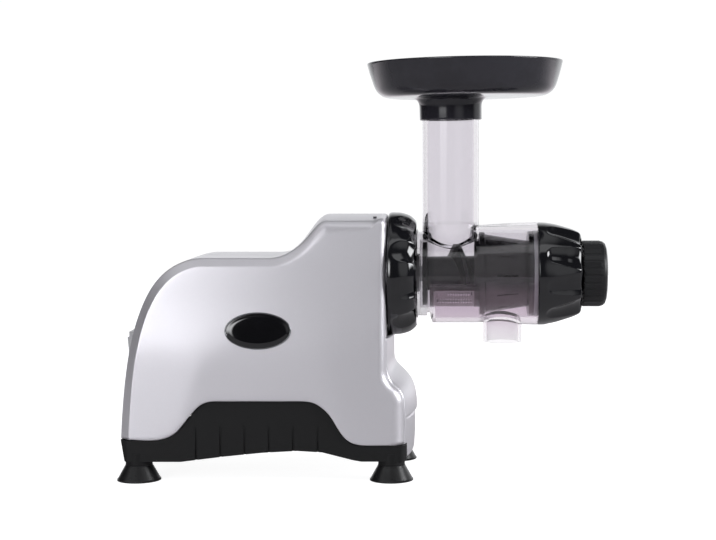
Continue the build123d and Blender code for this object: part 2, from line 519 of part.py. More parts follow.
ring = rev([(RING_X0, 42.4), (RING_X0, 49.2), (18.4, 49.8), (22.0, 50.3), (26.0, 50.3), (29.5, 49.9), (33.0, 49.1), (36.0, 47.9), (38.6, 46.0), (40.4, 44.2),
            (41.3, 42.8), (RING_X1, 41.6), (RING_X1, 36.4), (39.5, 36.4), (39.5, 40.0), (34.4, 40.0), (34.4, 42.4), (31.0, 42.4), (31.0, 44.2), (22.0, 44.2), (22.0, 42.4)])
for i in range(10):
    ring = ring - scoop(33.0, 57.6, 46.0, 51.0, 11.0, 36.0 * i + 11.0)
for a in (90, 210, 330):
    ring = ring + sector(23.2, 26.4, 42.4, 44.6, a, 8.5)
add("locking_ring", ring)

# ---------------------------------------------------------------- drum
NECK_X0 = 27.5
drum = cyl_x(42.4, 50.0, 34.5) + cyl_x(42.5, 93.0, 32.0)
drum = drum + rev([(90.0, 0), (90.0, 39.6), (119.0, 41.4), (CAP_X0 - 0.3, 42.0), (CAP_X0 - 0.3, 0)])
drum = drum + tube_x(CAP_X0 - 1, 149.0, 37.0, 30)
sump = (cyl_x(53.0, 92.0, 40.2) & block(40, 100, -60, 60, 100, AX_Z - 8.0))
sump = sump - (slab(xz_face([(50, 132.5), (52.4, 131.0), (55.6, 118), (40, 118), (40, 134)]), 60))
drum = drum + sump
drum = drum + cyl_z(TUBE_X, 0, AX_Z, TUBE_WELD, TUBE_RO)
drum = drum + cyl_z(SPOUT_X, 0, SPOUT_Z, AX_Z - 10, SPOUT_RO)
drum = drum + tube_x(NECK_X0, 42.6, 33.0, 26.0) + tube_x(36.2, 42.6, 36.0, 30.0) + tube_x(36.2, 39.2, 39.5, 30.0)
# lugs that sit in the hub's slots and stop the drum turning
for a in (0, 180):
    drum = drum + sector(28.4, 33.8, 32.0, 35.6, a, 9.0)
cavity = cyl_x(44.4, 95.0, 28.0) + cyl_x(92.5, 139.7, 36.0) + cyl_x(139.6, 160.0, 35.0)
low_cav = (cyl_x(57.0, 93.0, 36.6) & block(40, 100, -60, 60, 100, AX_Z - 11.0))
cavity = cavity + low_cav
drum = drum - cavity
drum = drum - cyl_x(NECK_X0 - 1, 41.7, 26.0) - cyl_x(30, 60, 15.0)
drum = drum - cyl_z(TUBE_X, 0, AX_Z, TUBE_WELD + 1, TUBE_RI + 0.3)
drum = drum - cyl_z(SPOUT_X, 0, SPOUT_Z - 1, AX_Z - 20, SPOUT_RI)
# three lugs of the end cap's bayonet
for i in range(3):
    drum = drum + sector(144.7, 147.4, 36.2, 38.2, 120 * i + 90, 8.5)
add("drum", drum)
add("feed_chute", cyl_z(TUBE_X, 0, TUBE_WELD, TUBE_TOP, TUBE_RO) - cyl_z(TUBE_X, 0, TUBE_WELD - 1, TUBE_TOP + 1, TUBE_RI))
add("drum_gasket", tube_x(34.0, 36.2, 39.0, 33.0))

# ---------------------------------------------------------------- juicing screen
basket = rev([(93.0, 34.0), (93.0, 26.2), (97.0, 26.0), (131.5, 22.0), (136.5, 21.6), (136.5, 34.8), (132.5, 34.8), (131.5, 27.0), (98.0, 32.2), (97.0, 34.0)])
basket = basket + tube_x(88.5, 93.5, 27.4, 25.6)
basket = basket + (tube_x(52.4, 55.4, 27.4, 25.6) & block(40, 100, -60, 60, 100, AX_Z - 6.0))
for a in (199, 341):
    basket = basket + sector(52.4, 94.0, 25.6, 27.4, a, 4.0)
for i in range(12):
    basket = basket - sector(107.0, 124.0, 15.0, 33.0, 30 * i, 1.2)
add("juicing_screen", basket)
mesh = tube_x(55.5, 88.4, 27.0, 26.0) & block(40, 100, -60, 60, 100, AX_Z - 11.6)
for i in range(14):
    mx = 58.4 + i * 2.1
    rows = [(-19.0, -12.0), (-10.5, -4.0), (-3.0, 3.0), (4.0, 10.5), (12.0, 19.0)]
    if mx > 65.0:
        rows += [(-40.0, -20.5), (20.5, 40.0)]
    for y0, y1 in rows:
        mesh = mesh - block(mx, mx + 1.0, y0, y1, 100, AX_Z - 13.4)
add("screen_mesh", mesh)

# ---------------------------------------------------------------- auger
CORE = 13.9
core = rev([(46.6, 0), (46.6, 25.8), (50.2, 25.8), (50.2, CORE), (92.0, CORE + 0.6), (131.0, 15.0), (138.0, 9.0), (138.0, 0)])
core = core - hex_x(40, 70, 12.1)


def flight(x0, x1, pitch, r_in, r_out, thick_root, thick_tip, start, clip_r1=None):
    """Helical flight round the auger axis, built from short ruled solids between angular stations."""
    turns = (x1 - x0) / pitch
    n = max(8, int(turns * 16))
    solids = []
    wires = []
    for i in range(n + 1):
        t = i / n
        ang = math.radians(start) + 2 * math.pi * turns * t
        xc = x0 + (x1 - x0) * t
        ro = r_out if clip_r1 is None else r_out + (clip_r1 - r_out) * max(0.0, (xc - 88.0) / (131.0 - 88.0)) if xc > 88.0 else r_out
        e = Vector(0, math.cos(ang), math.sin(ang))
        o = Vector(xc, 0, AX_Z)
        p = [o + e * r_in + Vector(-thick_root / 2, 0, 0), o + e * r_in + Vector(thick_root / 2, 0, 0),
             o + e * ro + Vector(thick_tip / 2, 0, 0), o + e * ro + Vector(-thick_tip / 2, 0, 0)]
        wires.append(Wire.make_polygon([tuple(v) for v in p], close=True))
    return Solid.make_loft(wires, ruled=False) if False else [Solid.make_loft([wires[i], wires[i + 1]], ruled=True) for i in range(n)]


pieces = flight(58.0, 127.0, 34.0, CORE - 1.5, 24.6, 13.0, 2.8, 279.0, 18.6)
auger = core
auger = auger.fuse(*pieces) if hasattr(auger, "fuse") else auger
auger = one(auger)
add("auger", auger)
add("auger_shaft", hex_x(12.5, 64.0, 12.0))
add("auger_seal", tube_x(41.75, 44.4, 14.95, 7.4))

# ---------------------------------------------------------------- end cap, nozzle, knob
cap = rev([(CAP_X0, 38.5), (CAP_X0, 42.2), (149.0, 41.6), (154.0, 40.8), (159.0, 39.6), (164.0, 38.2), (168.6, 36.8), (172.4, 35.2), (174.6, 33.4), (CAP_X1, 30.9),
           (CAP_X1, 14.0), (186.6, 14.0), (186.6, 11.0), (154.0, 11.0), (154.0, 14.0), (170.6, 14.0), (170.6, 28.0), (167.0, 31.4), (156.6, 34.0), (149.6, 34.0), (149.6, 38.5)])
for i in range(10):
    cap = cap - scoop(160.5, 55.6, 186.0, 47.4, 19.0, 36.0 * i + 11.0)
for i in range(3):
    cap = cap + sector(141.2, 144.1, 37.3, 39.2, 120 * i + 90, 8.5)
add("end_cap", cap)
add("end_cap_gasket", tube_x(136.6, 139.5, 35.0, 30.0))
add("nozzle_insert", rev([(153.4, 5.0), (153.4, 10.7), (190.4, 10.7), (190.4, 7.8), (165.0, 7.6)]))
knob = rev([(176.5, 14.4), (176.5, 26.4), (177.3, 27.0), (190.6, 27.0), (193.4, 26.2), (195.2, 24.8), (KNOB_X1, 22.0), (KNOB_X1, 8.4), (191.0, 8.4), (191.0, 14.4)])
for i in range(28):
    a = 360.0 / 28 * i
    knob = knob - (Pos(0, 0, AX_Z) * Rot(a, 0, 0) * Pos(187.0, 27.9, 0) * Rot(0, 90, 0) * Cylinder(1.5, 24.0))
add("pressure_knob", knob)

# ---------------------------------------------------------------- hopper tray
dish = rev_z([(0, 305.0), (60.0, 305.0), (66.0, 306.4), (70.2, 309.6), (73.2, 314.6), (75.4, 320.4), (77.4, 326.2), (TRAY_R, TRAY_Z), (TRAY_R - 2.0, TRAY_Z + 0.3),
              (75.2, 326.8), (73.2, 321.2), (71.0, 315.6), (68.2, 311.2), (65.0, 308.8), (59.6, 307.5), (0, 307.5)], TRAY_X, 0)
neck = rev_z([(0, 286.6), (25.2, 286.6), (25.2, 299.5), (25.9, 302.6), (27.6, 305.2), (0, 306.5)], TUBE_X, 0)
tray = dish + neck
tray = tray - cyl_z(TUBE_X, 0, 280, 303.4, 23.3) - cyl_z(TUBE_X, 0, 300, 320, 19.9)
pivot = Pos(TUBE_X, 0, 294.5)
tray = pivot * Rot(0, -TRAY_TILT, 0) * Pos(-TUBE_X, 0, -294.5) * tray
add("hopper_tray", tray)

# ---------------------------------------------------------------- write
for name, shape in parts.items():
    export_step(shape, os.path.join(OUT, name + ".step"))
boxes = [shape.bounding_box() for shape in parts.values()]
print("nodes", len(parts), "box", [round(min(getattr(b.min, k) for b in boxes), 2) for k in "XYZ"], [round(max(getattr(b.max, k) for b in boxes), 2) for k in "XYZ"])
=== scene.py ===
import json
import math
import bpy
import bmesh
import numpy as np
from mathutils import Vector, Matrix
from mathutils.geometry import delaunay_2d_cdt


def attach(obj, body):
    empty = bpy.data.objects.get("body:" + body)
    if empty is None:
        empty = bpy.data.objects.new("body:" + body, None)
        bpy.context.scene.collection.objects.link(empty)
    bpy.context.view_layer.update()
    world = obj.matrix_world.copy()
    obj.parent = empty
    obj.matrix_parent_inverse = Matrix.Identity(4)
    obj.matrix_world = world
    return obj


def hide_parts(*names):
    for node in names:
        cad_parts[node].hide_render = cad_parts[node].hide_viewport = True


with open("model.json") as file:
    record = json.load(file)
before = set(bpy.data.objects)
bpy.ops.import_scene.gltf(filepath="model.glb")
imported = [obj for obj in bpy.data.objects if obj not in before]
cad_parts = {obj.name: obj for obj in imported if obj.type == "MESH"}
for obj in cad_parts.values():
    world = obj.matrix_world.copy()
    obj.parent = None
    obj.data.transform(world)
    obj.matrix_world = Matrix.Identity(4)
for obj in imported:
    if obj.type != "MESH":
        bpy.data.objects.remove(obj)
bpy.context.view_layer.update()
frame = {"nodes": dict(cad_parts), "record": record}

N = frame["nodes"]
scene = bpy.context.scene
MM = 0.001
AXZ = 161.5


# ------------------------------------------------------------------ node helpers
class Mat:
    """Small wrapper that builds a node material."""

    def __init__(self, name):
        self.m = bpy.data.materials.new(name)
        self.m.use_nodes = True
        self.nt = self.m.node_tree
        self.nt.nodes.clear()
        self.out = self.nt.nodes.new("ShaderNodeOutputMaterial")
        self.co = self.nt.nodes.new("ShaderNodeTexCoord").outputs["Object"]

    def node(self, kind, **props):
        n = self.nt.nodes.new("ShaderNode" + kind)
        for k, v in props.items():
            setattr(n, k, v)
        return n

    def link(self, a, b):
        self.nt.links.new(a, b)

    def mapping(self, scale=(1, 1, 1), rotation=(0, 0, 0), location=(0, 0, 0)):
        n = self.node("Mapping")
        n.inputs["Scale"].default_value = scale
        n.inputs["Rotation"].default_value = rotation
        n.inputs["Location"].default_value = location
        self.link(self.co, n.inputs["Vector"])
        return n.outputs["Vector"]

    def noise(self, scale, detail=3.0, rough=0.55, vector=None, distortion=0.0):
        n = self.node("TexNoise")
        n.inputs["Scale"].default_value = scale
        n.inputs["Detail"].default_value = detail
        n.inputs["Roughness"].default_value = rough
        n.inputs["Distortion"].default_value = distortion
        self.link(vector or self.co, n.inputs["Vector"])
        return n.outputs["Fac"]

    def voronoi(self, scale, feature="F1", vector=None, randomness=1.0):
        n = self.node("TexVoronoi", feature=feature)
        n.inputs["Scale"].default_value = scale
        n.inputs["Randomness"].default_value = randomness
        self.link(vector or self.co, n.inputs["Vector"])
        return n.outputs["Distance"]

    def wave(self, scale, direction="X", vector=None, distortion=0.0, kind="BANDS", profile="SIN"):
        n = self.node("TexWave", wave_type=kind, wave_profile=profile)
        if kind == "BANDS":
            n.bands_direction = direction
        else:
            n.rings_direction = direction
        n.inputs["Scale"].default_value = scale
        n.inputs["Distortion"].default_value = distortion
        self.link(vector or self.co, n.inputs["Vector"])
        return n.outputs["Fac"]

    def ramp(self, fac, stops, interp="LINEAR"):
        n = self.node("ValToRGB")
        n.color_ramp.interpolation = interp
        els = n.color_ramp.elements
        while len(els) < len(stops):
            els.new(0.5)
        for e, (p, c) in zip(els, stops):
            e.position = p
            e.color = (*c, 1) if len(c) == 3 else c
        self.link(fac, n.inputs["Fac"])
        return n.outputs["Color"]

    def remap(self, fac, a, b, lo=0.0, hi=1.0):
        n = self.node("MapRange")
        n.inputs["From Min"].default_value = lo
        n.inputs["From Max"].default_value = hi
        n.inputs["To Min"].default_value = a
        n.inputs["To Max"].default_value = b
        self.link(fac, n.inputs["Value"])
        return n.outputs["Result"]

    def math(self, op, a, b=None, clamp=False):
        n = self.node("Math", operation=op, use_clamp=clamp)
        for i, v in enumerate((a, b)):
            if v is None:
                continue
            if isinstance(v, (int, float)):
                n.inputs[i].default_value = v
            else:
                self.link(v, n.inputs[i])
        return n.outputs[0]

    def mix(self, fac, a, b, blend="MIX"):
        n = self.node("Mix", data_type="RGBA", blend_type=blend)
        for sock, v in ((n.inputs[0], fac), (n.inputs[6], a), (n.inputs[7], b)):
            if isinstance(v, (int, float)):
                sock.default_value = v
            elif isinstance(v, (tuple, list)):
                sock.default_value = (*v, 1) if len(v) == 3 else v
            else:
                self.link(v, sock)
        return n.outputs[2]

    def bump(self, height, strength, distance, normal=None):
        n = self.node("Bump")
        n.inputs["Strength"].default_value = strength
        n.inputs["Distance"].default_value = distance
        self.link(height, n.inputs["Height"])
        if normal is not None:
            self.link(normal, n.inputs["Normal"])
        return n.outputs["Normal"]

    def xyz(self):
        n = self.node("SeparateXYZ")
        self.link(self.co, n.inputs[0])
        return n.outputs

    def principled(self, color, rough, normal=None, **const):
        n = self.node("BsdfPrincipled")
        for sock, v in (("Base Color", color), ("Roughness", rough)):
            if isinstance(v, (int, float)):
                n.inputs[sock].default_value = v
            elif isinstance(v, (tuple, list)):
                n.inputs[sock].default_value = (*v, 1)
            else:
                self.link(v, n.inputs[sock])
        if normal is not None:
            self.link(normal, n.inputs["Normal"])
        for k, v in const.items():
            n.inputs[k.replace("_", " ")].default_value = v
        self.link(n.outputs[0], self.out.inputs["Surface"])
        return n


# ------------------------------------------------------------------ materials
def silver_paint():
    m = Mat("silver_paint")
    flake = m.voronoi(2600.0)
    cloud = m.noise(14.0, 2.0)
    base = m.mix(m.remap(flake, 0.0, 0.35, 0.0, 0.6), (0.60, 0.585, 0.62), (0.72, 0.705, 0.74))
    base = m.mix(m.remap(cloud, 0.0, 0.10, 0.35, 0.65), base, (0.55, 0.53, 0.56))
    rough = m.remap(m.noise(900.0, 2.0), 0.35, 0.42)
    peel = m.bump(m.noise(420.0, 2.0), 0.08, 0.0004)
    peel = m.bump(flake, 0.06, 0.0002, peel)
    m.principled(base, rough, peel, Metallic=0.58, Coat_Weight=0.25, Coat_Roughness=0.12)
    return m.m


def textured_black(name, tone=(0.0042, 0.0042, 0.0046), rough=(0.50, 0.64), grain=1700.0, depth=0.00012, spec=0.24):
    m = Mat(name)
    g = m.noise(grain, 3.0, 0.6)
    patches = m.noise(25.0, 3.0)
    base = m.mix(m.remap(g, 0.0, 1.0, 0.35, 0.65), tone, tuple(v * 1.35 for v in tone))
    base = m.mix(m.remap(patches, 0.0, 0.25, 0.4, 0.7), base, tuple(v * 1.2 for v in tone))
    m.principled(base, m.remap(g, *rough, 0.3, 0.7), m.bump(g, 0.35, depth), Specular_IOR_Level=spec)
    return m.m


def gloss_black(name, tone=(0.006, 0.006, 0.0075), rough=(0.045, 0.10), coat=0.35):
    m = Mat(name)
    smudge = m.noise(38.0, 4.0, 0.6)
    fine = m.noise(1500.0, 2.0)
    r = m.math("ADD", m.remap(smudge, rough[0], rough[1], 0.35, 0.7), m.remap(fine, 0.0, 0.012))
    base = m.mix(m.remap(smudge, 0.0, 1.0, 0.4, 0.6), tone, tuple(v * 1.25 for v in tone))
    m.principled(base, r, m.bump(m.noise(70.0, 1.0), 0.02, 0.0006), IOR=1.53, Coat_Weight=coat, Coat_Roughness=0.03)
    return m.m


def clear_plastic(name, rough=0.015):
    """Smoked clear moulding, tinted darker and pinker in a band below the auger axis by a ramp on height."""
    m = Mat(name)
    swirl = m.noise(16.0, 3.0)
    fine = m.noise(260.0, 2.0)
    height = m.math("ADD", m.remap(m.xyz()[2], 0.0, 1.0, 0.105, 0.210), m.remap(swirl, -0.015, 0.015, 0.35, 0.65))
    col = m.ramp(height, [(0.0, (0.81, 0.795, 0.81)), (0.13, (0.77, 0.735, 0.77)), (0.20, (0.68, 0.615, 0.675)), (0.42, (0.64, 0.575, 0.64)), (0.52, (0.68, 0.64, 0.69)), (0.58, (0.74, 0.72, 0.75)),
                           (0.76, (0.78, 0.755, 0.795)), (0.86, (0.82, 0.80, 0.835))])
    collar = m.math("MULTIPLY", m.remap(m.xyz()[0], 1.0, 0.0, 0.049, 0.057), m.remap(m.xyz()[2], 1.0, 0.0, 0.199, 0.203))
    col = m.mix(collar, col, (0.57, 0.555, 0.58))
    m.principled(col, m.remap(fine, rough, rough + 0.015), m.bump(swirl, 0.04, 0.0008), Transmission_Weight=1.0, IOR=1.45)
    return m.m


def screen_plastic(name):
    """Dark holder whose lower half is a thinner, brownish resin."""
    m = Mat(name)
    smudge = m.noise(38.0, 4.0, 0.6)
    height = m.math("ADD", m.remap(m.xyz()[2], 0.0, 1.0, 0.125, 0.205), m.remap(smudge, -0.02, 0.02, 0.35, 0.65))
    base = m.ramp(height, [(0.0, (0.15, 0.115, 0.125)), (0.30, (0.125, 0.095, 0.105)), (0.35, (0.05, 0.04, 0.044)), (0.40, (0.009, 0.008, 0.009)), (1.0, (0.008, 0.008, 0.009))])
    m.principled(base, m.remap(smudge, 0.16, 0.24, 0.35, 0.7), m.bump(m.noise(70.0, 1.0), 0.02, 0.0006), IOR=1.5)
    return m.m


def metal(name, tone, rough=(0.22, 0.34), brushed=None, scale=700.0):
    m = Mat(name)
    vec = m.mapping(brushed) if brushed else None
    g = m.noise(scale, 4.0, 0.6, vector=vec)
    base = m.mix(m.remap(g, 0.0, 1.0, 0.35, 0.65), tone, tuple(min(1.0, v * 1.12) for v in tone))
    m.principled(base, m.remap(g, *rough, 0.3, 0.7), m.bump(g, 0.10, 0.00008), Metallic=1.0)
    return m.m


def rubber(name, tone=(0.007, 0.007, 0.0075), rough=(0.27, 0.36)):
    m = Mat(name)
    g = m.noise(800.0, 3.0)
    bloom = m.noise(60.0, 3.0)
    base = m.mix(m.remap(bloom, 0.0, 0.5, 0.4, 0.75), tone, tuple(v * 2.0 + 0.004 for v in tone))
    m.principled(base, m.remap(g, *rough, 0.3, 0.7), m.bump(g, 0.18, 0.0001), Specular_IOR_Level=0.45)
    return m.m


def plain(name, tone, rough=(0.4, 0.5), scale=300.0, bump=0.08):
    m = Mat(name)
    g = m.noise(scale, 3.0)
    base = m.mix(m.remap(g, 0.0, 1.0, 0.3, 0.7), tone, tuple(min(1.0, v * 1.1) for v in tone))
    m.principled(base, m.remap(g, *rough, 0.3, 0.7), m.bump(g, bump, 0.0001))
    return m.m


M = {
    "silver_shell": silver_paint(),
    "black_base": textured_black("charcoal_grain"),
    "gloss_black": gloss_black("polished_black"),
    "satin_black": textured_black("satin_black_grain", (0.014, 0.014, 0.015), (0.30, 0.40), 1900.0, 0.00006),
    "clear_smoke": clear_plastic("smoke_clear"),
    "auger_black": textured_black("auger_resin", (0.020, 0.020, 0.022), (0.30, 0.42), 900.0, 0.00008),
    "screen_resin": screen_plastic("screen_resin"),
    "mesh_steel": metal("strainer_steel", (0.31, 0.28, 0.29), brushed=(40.0, 900.0, 900.0)),
    "rubber_black": rubber("foot_rubber"),
    "silicone_grey": rubber("seal_silicone", (0.42, 0.42, 0.43), (0.35, 0.45)),
    "badge_black": gloss_black("badge_enamel", (0.004, 0.004, 0.005), (0.04, 0.09)),
    "badge_chrome": metal("badge_rim_metal", (0.22, 0.22, 0.23), (0.12, 0.2)),
    "mark_grey": plain("mark_paint", (0.05, 0.05, 0.055)),
    "switch_grey": plain("switch_shell_grey", (0.46, 0.46, 0.47), (0.30, 0.42), 700.0, 0.05),
    "steel": metal("machined_steel", (0.52, 0.52, 0.53), brushed=(900.0, 60.0, 60.0)),
    "zinc": metal("zinc_plate", (0.60, 0.60, 0.58)),
    "lamination": metal("lamination_stack", (0.13, 0.13, 0.14), (0.4, 0.5), brushed=(2200.0, 20.0, 20.0)),
    "copper": metal("winding_copper", (0.50, 0.20, 0.09), brushed=(60.0, 900.0, 900.0)),
    "cast_alloy": metal("cast_alloy", (0.50, 0.50, 0.51), (0.42, 0.55), scale=380.0),
    "nylon_white": plain("natural_nylon", (0.66, 0.65, 0.61)),
    "sintered": metal("sintered_steel", (0.22, 0.22, 0.23), (0.40, 0.52), scale=1200.0),
    "bronze": metal("sintered_bronze", (0.42, 0.27, 0.12), (0.4, 0.5), scale=1200.0),
    "capacitor_can": plain("capacitor_can", (0.70, 0.70, 0.68)),
}
SLOT = {s["node"]: s["material_slot"] for s in frame["record"]["subparts"]}
for name, o in N.items():
    o.data.materials.clear()
    o.data.materials.append(M[SLOT[name]])


# ------------------------------------------------------------------ mesh helpers
def cubic(pts, step, t0=None, t1=None):
    """Smooth curve through points, with unit end tangents where given, sampled every step mm."""
    p = np.array(pts, float)
    u = np.concatenate([[0], np.cumsum(np.linalg.norm(np.diff(p, axis=0), axis=1))])
    n = len(p)
    a = np.zeros((n, n))
    b = np.zeros((n, p.shape[1]))
    h = np.diff(u)
    for i in range(1, n - 1):
        a[i, i - 1], a[i, i], a[i, i + 1] = 1 / h[i - 1], 2 * (1 / h[i - 1] + 1 / h[i]), 1 / h[i]
        b[i] = 3 * ((p[i] - p[i - 1]) / h[i - 1] ** 2 + (p[i + 1] - p[i]) / h[i] ** 2)
    if t0 is None:
        a[0, 0], a[0, 1], b[0] = 2, 1, 3 * (p[1] - p[0]) / h[0]
    else:
        a[0, 0], b[0] = 1, t0
    if t1 is None:
        a[-1, -1], a[-1, -2], b[-1] = 2, 1, 3 * (p[-1] - p[-2]) / h[-1]
    else:
        a[-1, -1], b[-1] = 1, t1
    m = np.linalg.solve(a, b)
    out = []
    count = max(2, int(round(u[-1] / step)))
    for t in np.linspace(0, u[-1], count + 1):
        i = min(n - 2, int(np.searchsorted(u, t, side="right") - 1))
        s = (t - u[i]) / h[i]
        out.append((2 * s ** 3 - 3 * s ** 2 + 1) * p[i] + (s ** 3 - 2 * s ** 2 + s) * h[i] * m[i]
                   + (-2 * s ** 3 + 3 * s ** 2) * p[i + 1] + (s ** 3 - s ** 2) * h[i] * m[i + 1])
    return np.array(out)


def line(a, b, step):
    n = max(1, int(round(math.dist(a, b) / step)))
    return np.array([np.array(a) + (np.array(b, float) - a) * i / n for i in range(n + 1)])


def chain(*parts):
    out = [parts[0]]
    for q in parts[1:]:
        out.append(q[1:] if np.allclose(q[0], out[-1][-1], atol=0.02) else q)
    return np.concatenate(out)


def smooth(x, a=0.0, b=1.0):
    t = np.clip((np.asarray(x, float) - a) / (b - a), 0, 1)
    return t * t * (3 - 2 * t)


def softplus(u, w):
    return w * np.logaddexp(0.0, np.asarray(u, float) / w)


def make(name, verts, faces, mat, body, replaces=(), smooth_angle=40.0, scale=MM):
    me = bpy.data.meshes.new(name)
    me.from_pydata([tuple(float(c) * scale for c in v) for v in verts], [], [tuple(int(i) for i in f) for f in faces])
    bmx = bmesh.new()
    bmx.from_mesh(me)
    bmesh.ops.remove_doubles(bmx, verts=bmx.verts, dist=2e-6)
    bmesh.ops.dissolve_degenerate(bmx, edges=bmx.edges, dist=1e-6)
    bmesh.ops.recalc_face_normals(bmx, faces=bmx.faces)
    bmx.to_mesh(me)
    bmx.free()
    me.update()
    me.materials.append(mat)
    o = bpy.data.objects.new(name, me)
    scene.collection.objects.link(o)
    me.shade_smooth()
    if smooth_angle:
        me.set_sharp_from_angle(angle=math.radians(smooth_angle))
    if replaces:
        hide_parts(*replaces)
    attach(o, body)
    return o


def modifier(o, kind, **props):
    m = o.modifiers.new(kind.lower(), kind)
    for k, v in props.items():
        setattr(m, k, v)
    return m


def grid_faces(rows, cols, close_u=False, close_v=False, offset=0, flip=False):
    """Quads over a rows x cols vertex grid."""
    out = []
    for i in range(rows if close_u else rows - 1):
        for j in range(cols if close_v else cols - 1):
            a, b = i * cols + j, i * cols + (j + 1) % cols
            c, d = ((i + 1) % rows) * cols + (j + 1) % cols, ((i + 1) % rows) * cols + j
            f = (a, b, c, d) if not flip else (d, c, b, a)
            out.append(tuple(v + offset for v in f))
    return out


# ------------------------------------------------------------------ motor body shells
CREASE = math.cos(math.atan(0.3))


def side_h(x, z):
    """Half width of the silver body's side at (x, z)."""
    x, z = np.asarray(x, float), np.asarray(z, float)
    h = 57.9 - 0.018 * (z - 33.0) - 0.064 * softplus(z - 105.0, 5.0)
    wd = 2.2 + 26.0 * smooth(z, 88.0, 148.0)
    ul = (-128.0 + (z - 98.0) * 0.3 - x) * CREASE
    ur = (x + 32.0 + (z - 98.0) * 0.3) * CREASE
    h = h - 0.064 * softplus(ul, wd) - 0.050 * softplus(ur, wd)
    lean = np.clip((z - 165.0) / 40.0, 0, 1.2)
    return h - 2.0 * lean ** 2 * smooth(x, -70.0, -35.0)


def outline_points():
    rear = cubic([(-192.8, 33.7), (-192.0, 50), (-187.6, 92), (-176.9, 135.2), (-159.6, 163.4), (-127.0, 177.0)], 2.2, (0.01, 1), (1, 0))
    top = line((-127.0, 177.0), (-76.0, 177.0), 4.0)
    rise = cubic([(-76.0, 177.0), (-61.0, 180.8), (-49.6, 190.6), (-41.0, 202.4), (-29.5, 210.5)], 1.8, (1, 0), (1, 0))
    high = line((-29.5, 210.5), (14.6, 210.5), 3.5)
    arc = np.array([(14.6 + 3.4 * math.sin(a), 207.1 + 3.4 * math.cos(a)) for a in np.linspace(0, math.pi / 2, 9)])
    drop = line((18.0, 207.1), (18.0, 88.0), 3.5)
    step = cubic([(18.0, 88.0), (21.9, 78.3), (28.6, 71.8), (32.4, 61.0)], 1.6, (0, -1), (0, -1))
    low = line((32.4, 61.0), (32.4, 29.1), 3.0)
    return chain(rear, top, rise, high, arc, drop, step, low)


def lower_line():
    """Where the silver ends, from the rear corner to the front corner, seen from the side."""
    return cubic([(-184.6, 33.7), (-176.0, 33.2), (-164.5, 33.3), (-155.5, 35.2), (-148.1, 39.2), (-142.6, 45.0), (-137.1, 52.0), (-131.6, 58.2), (-126.2, 62.3),
                  (-119.5, 64.2), (-112.0, 64.4), (-95.0, 64.4), (-78.0, 64.4), (-60.0, 64.4), (-46.0, 64.3), (-38.6, 63.0), (-32.3, 59.3), (-26.0, 53.0), (-21.0, 45.0), (-16.2, 37.6),
                  (-10.8, 32.4), (-3.0, 29.7), (8.0, 29.1), (18.0, 29.1), (27.6, 29.1)], 1.5)


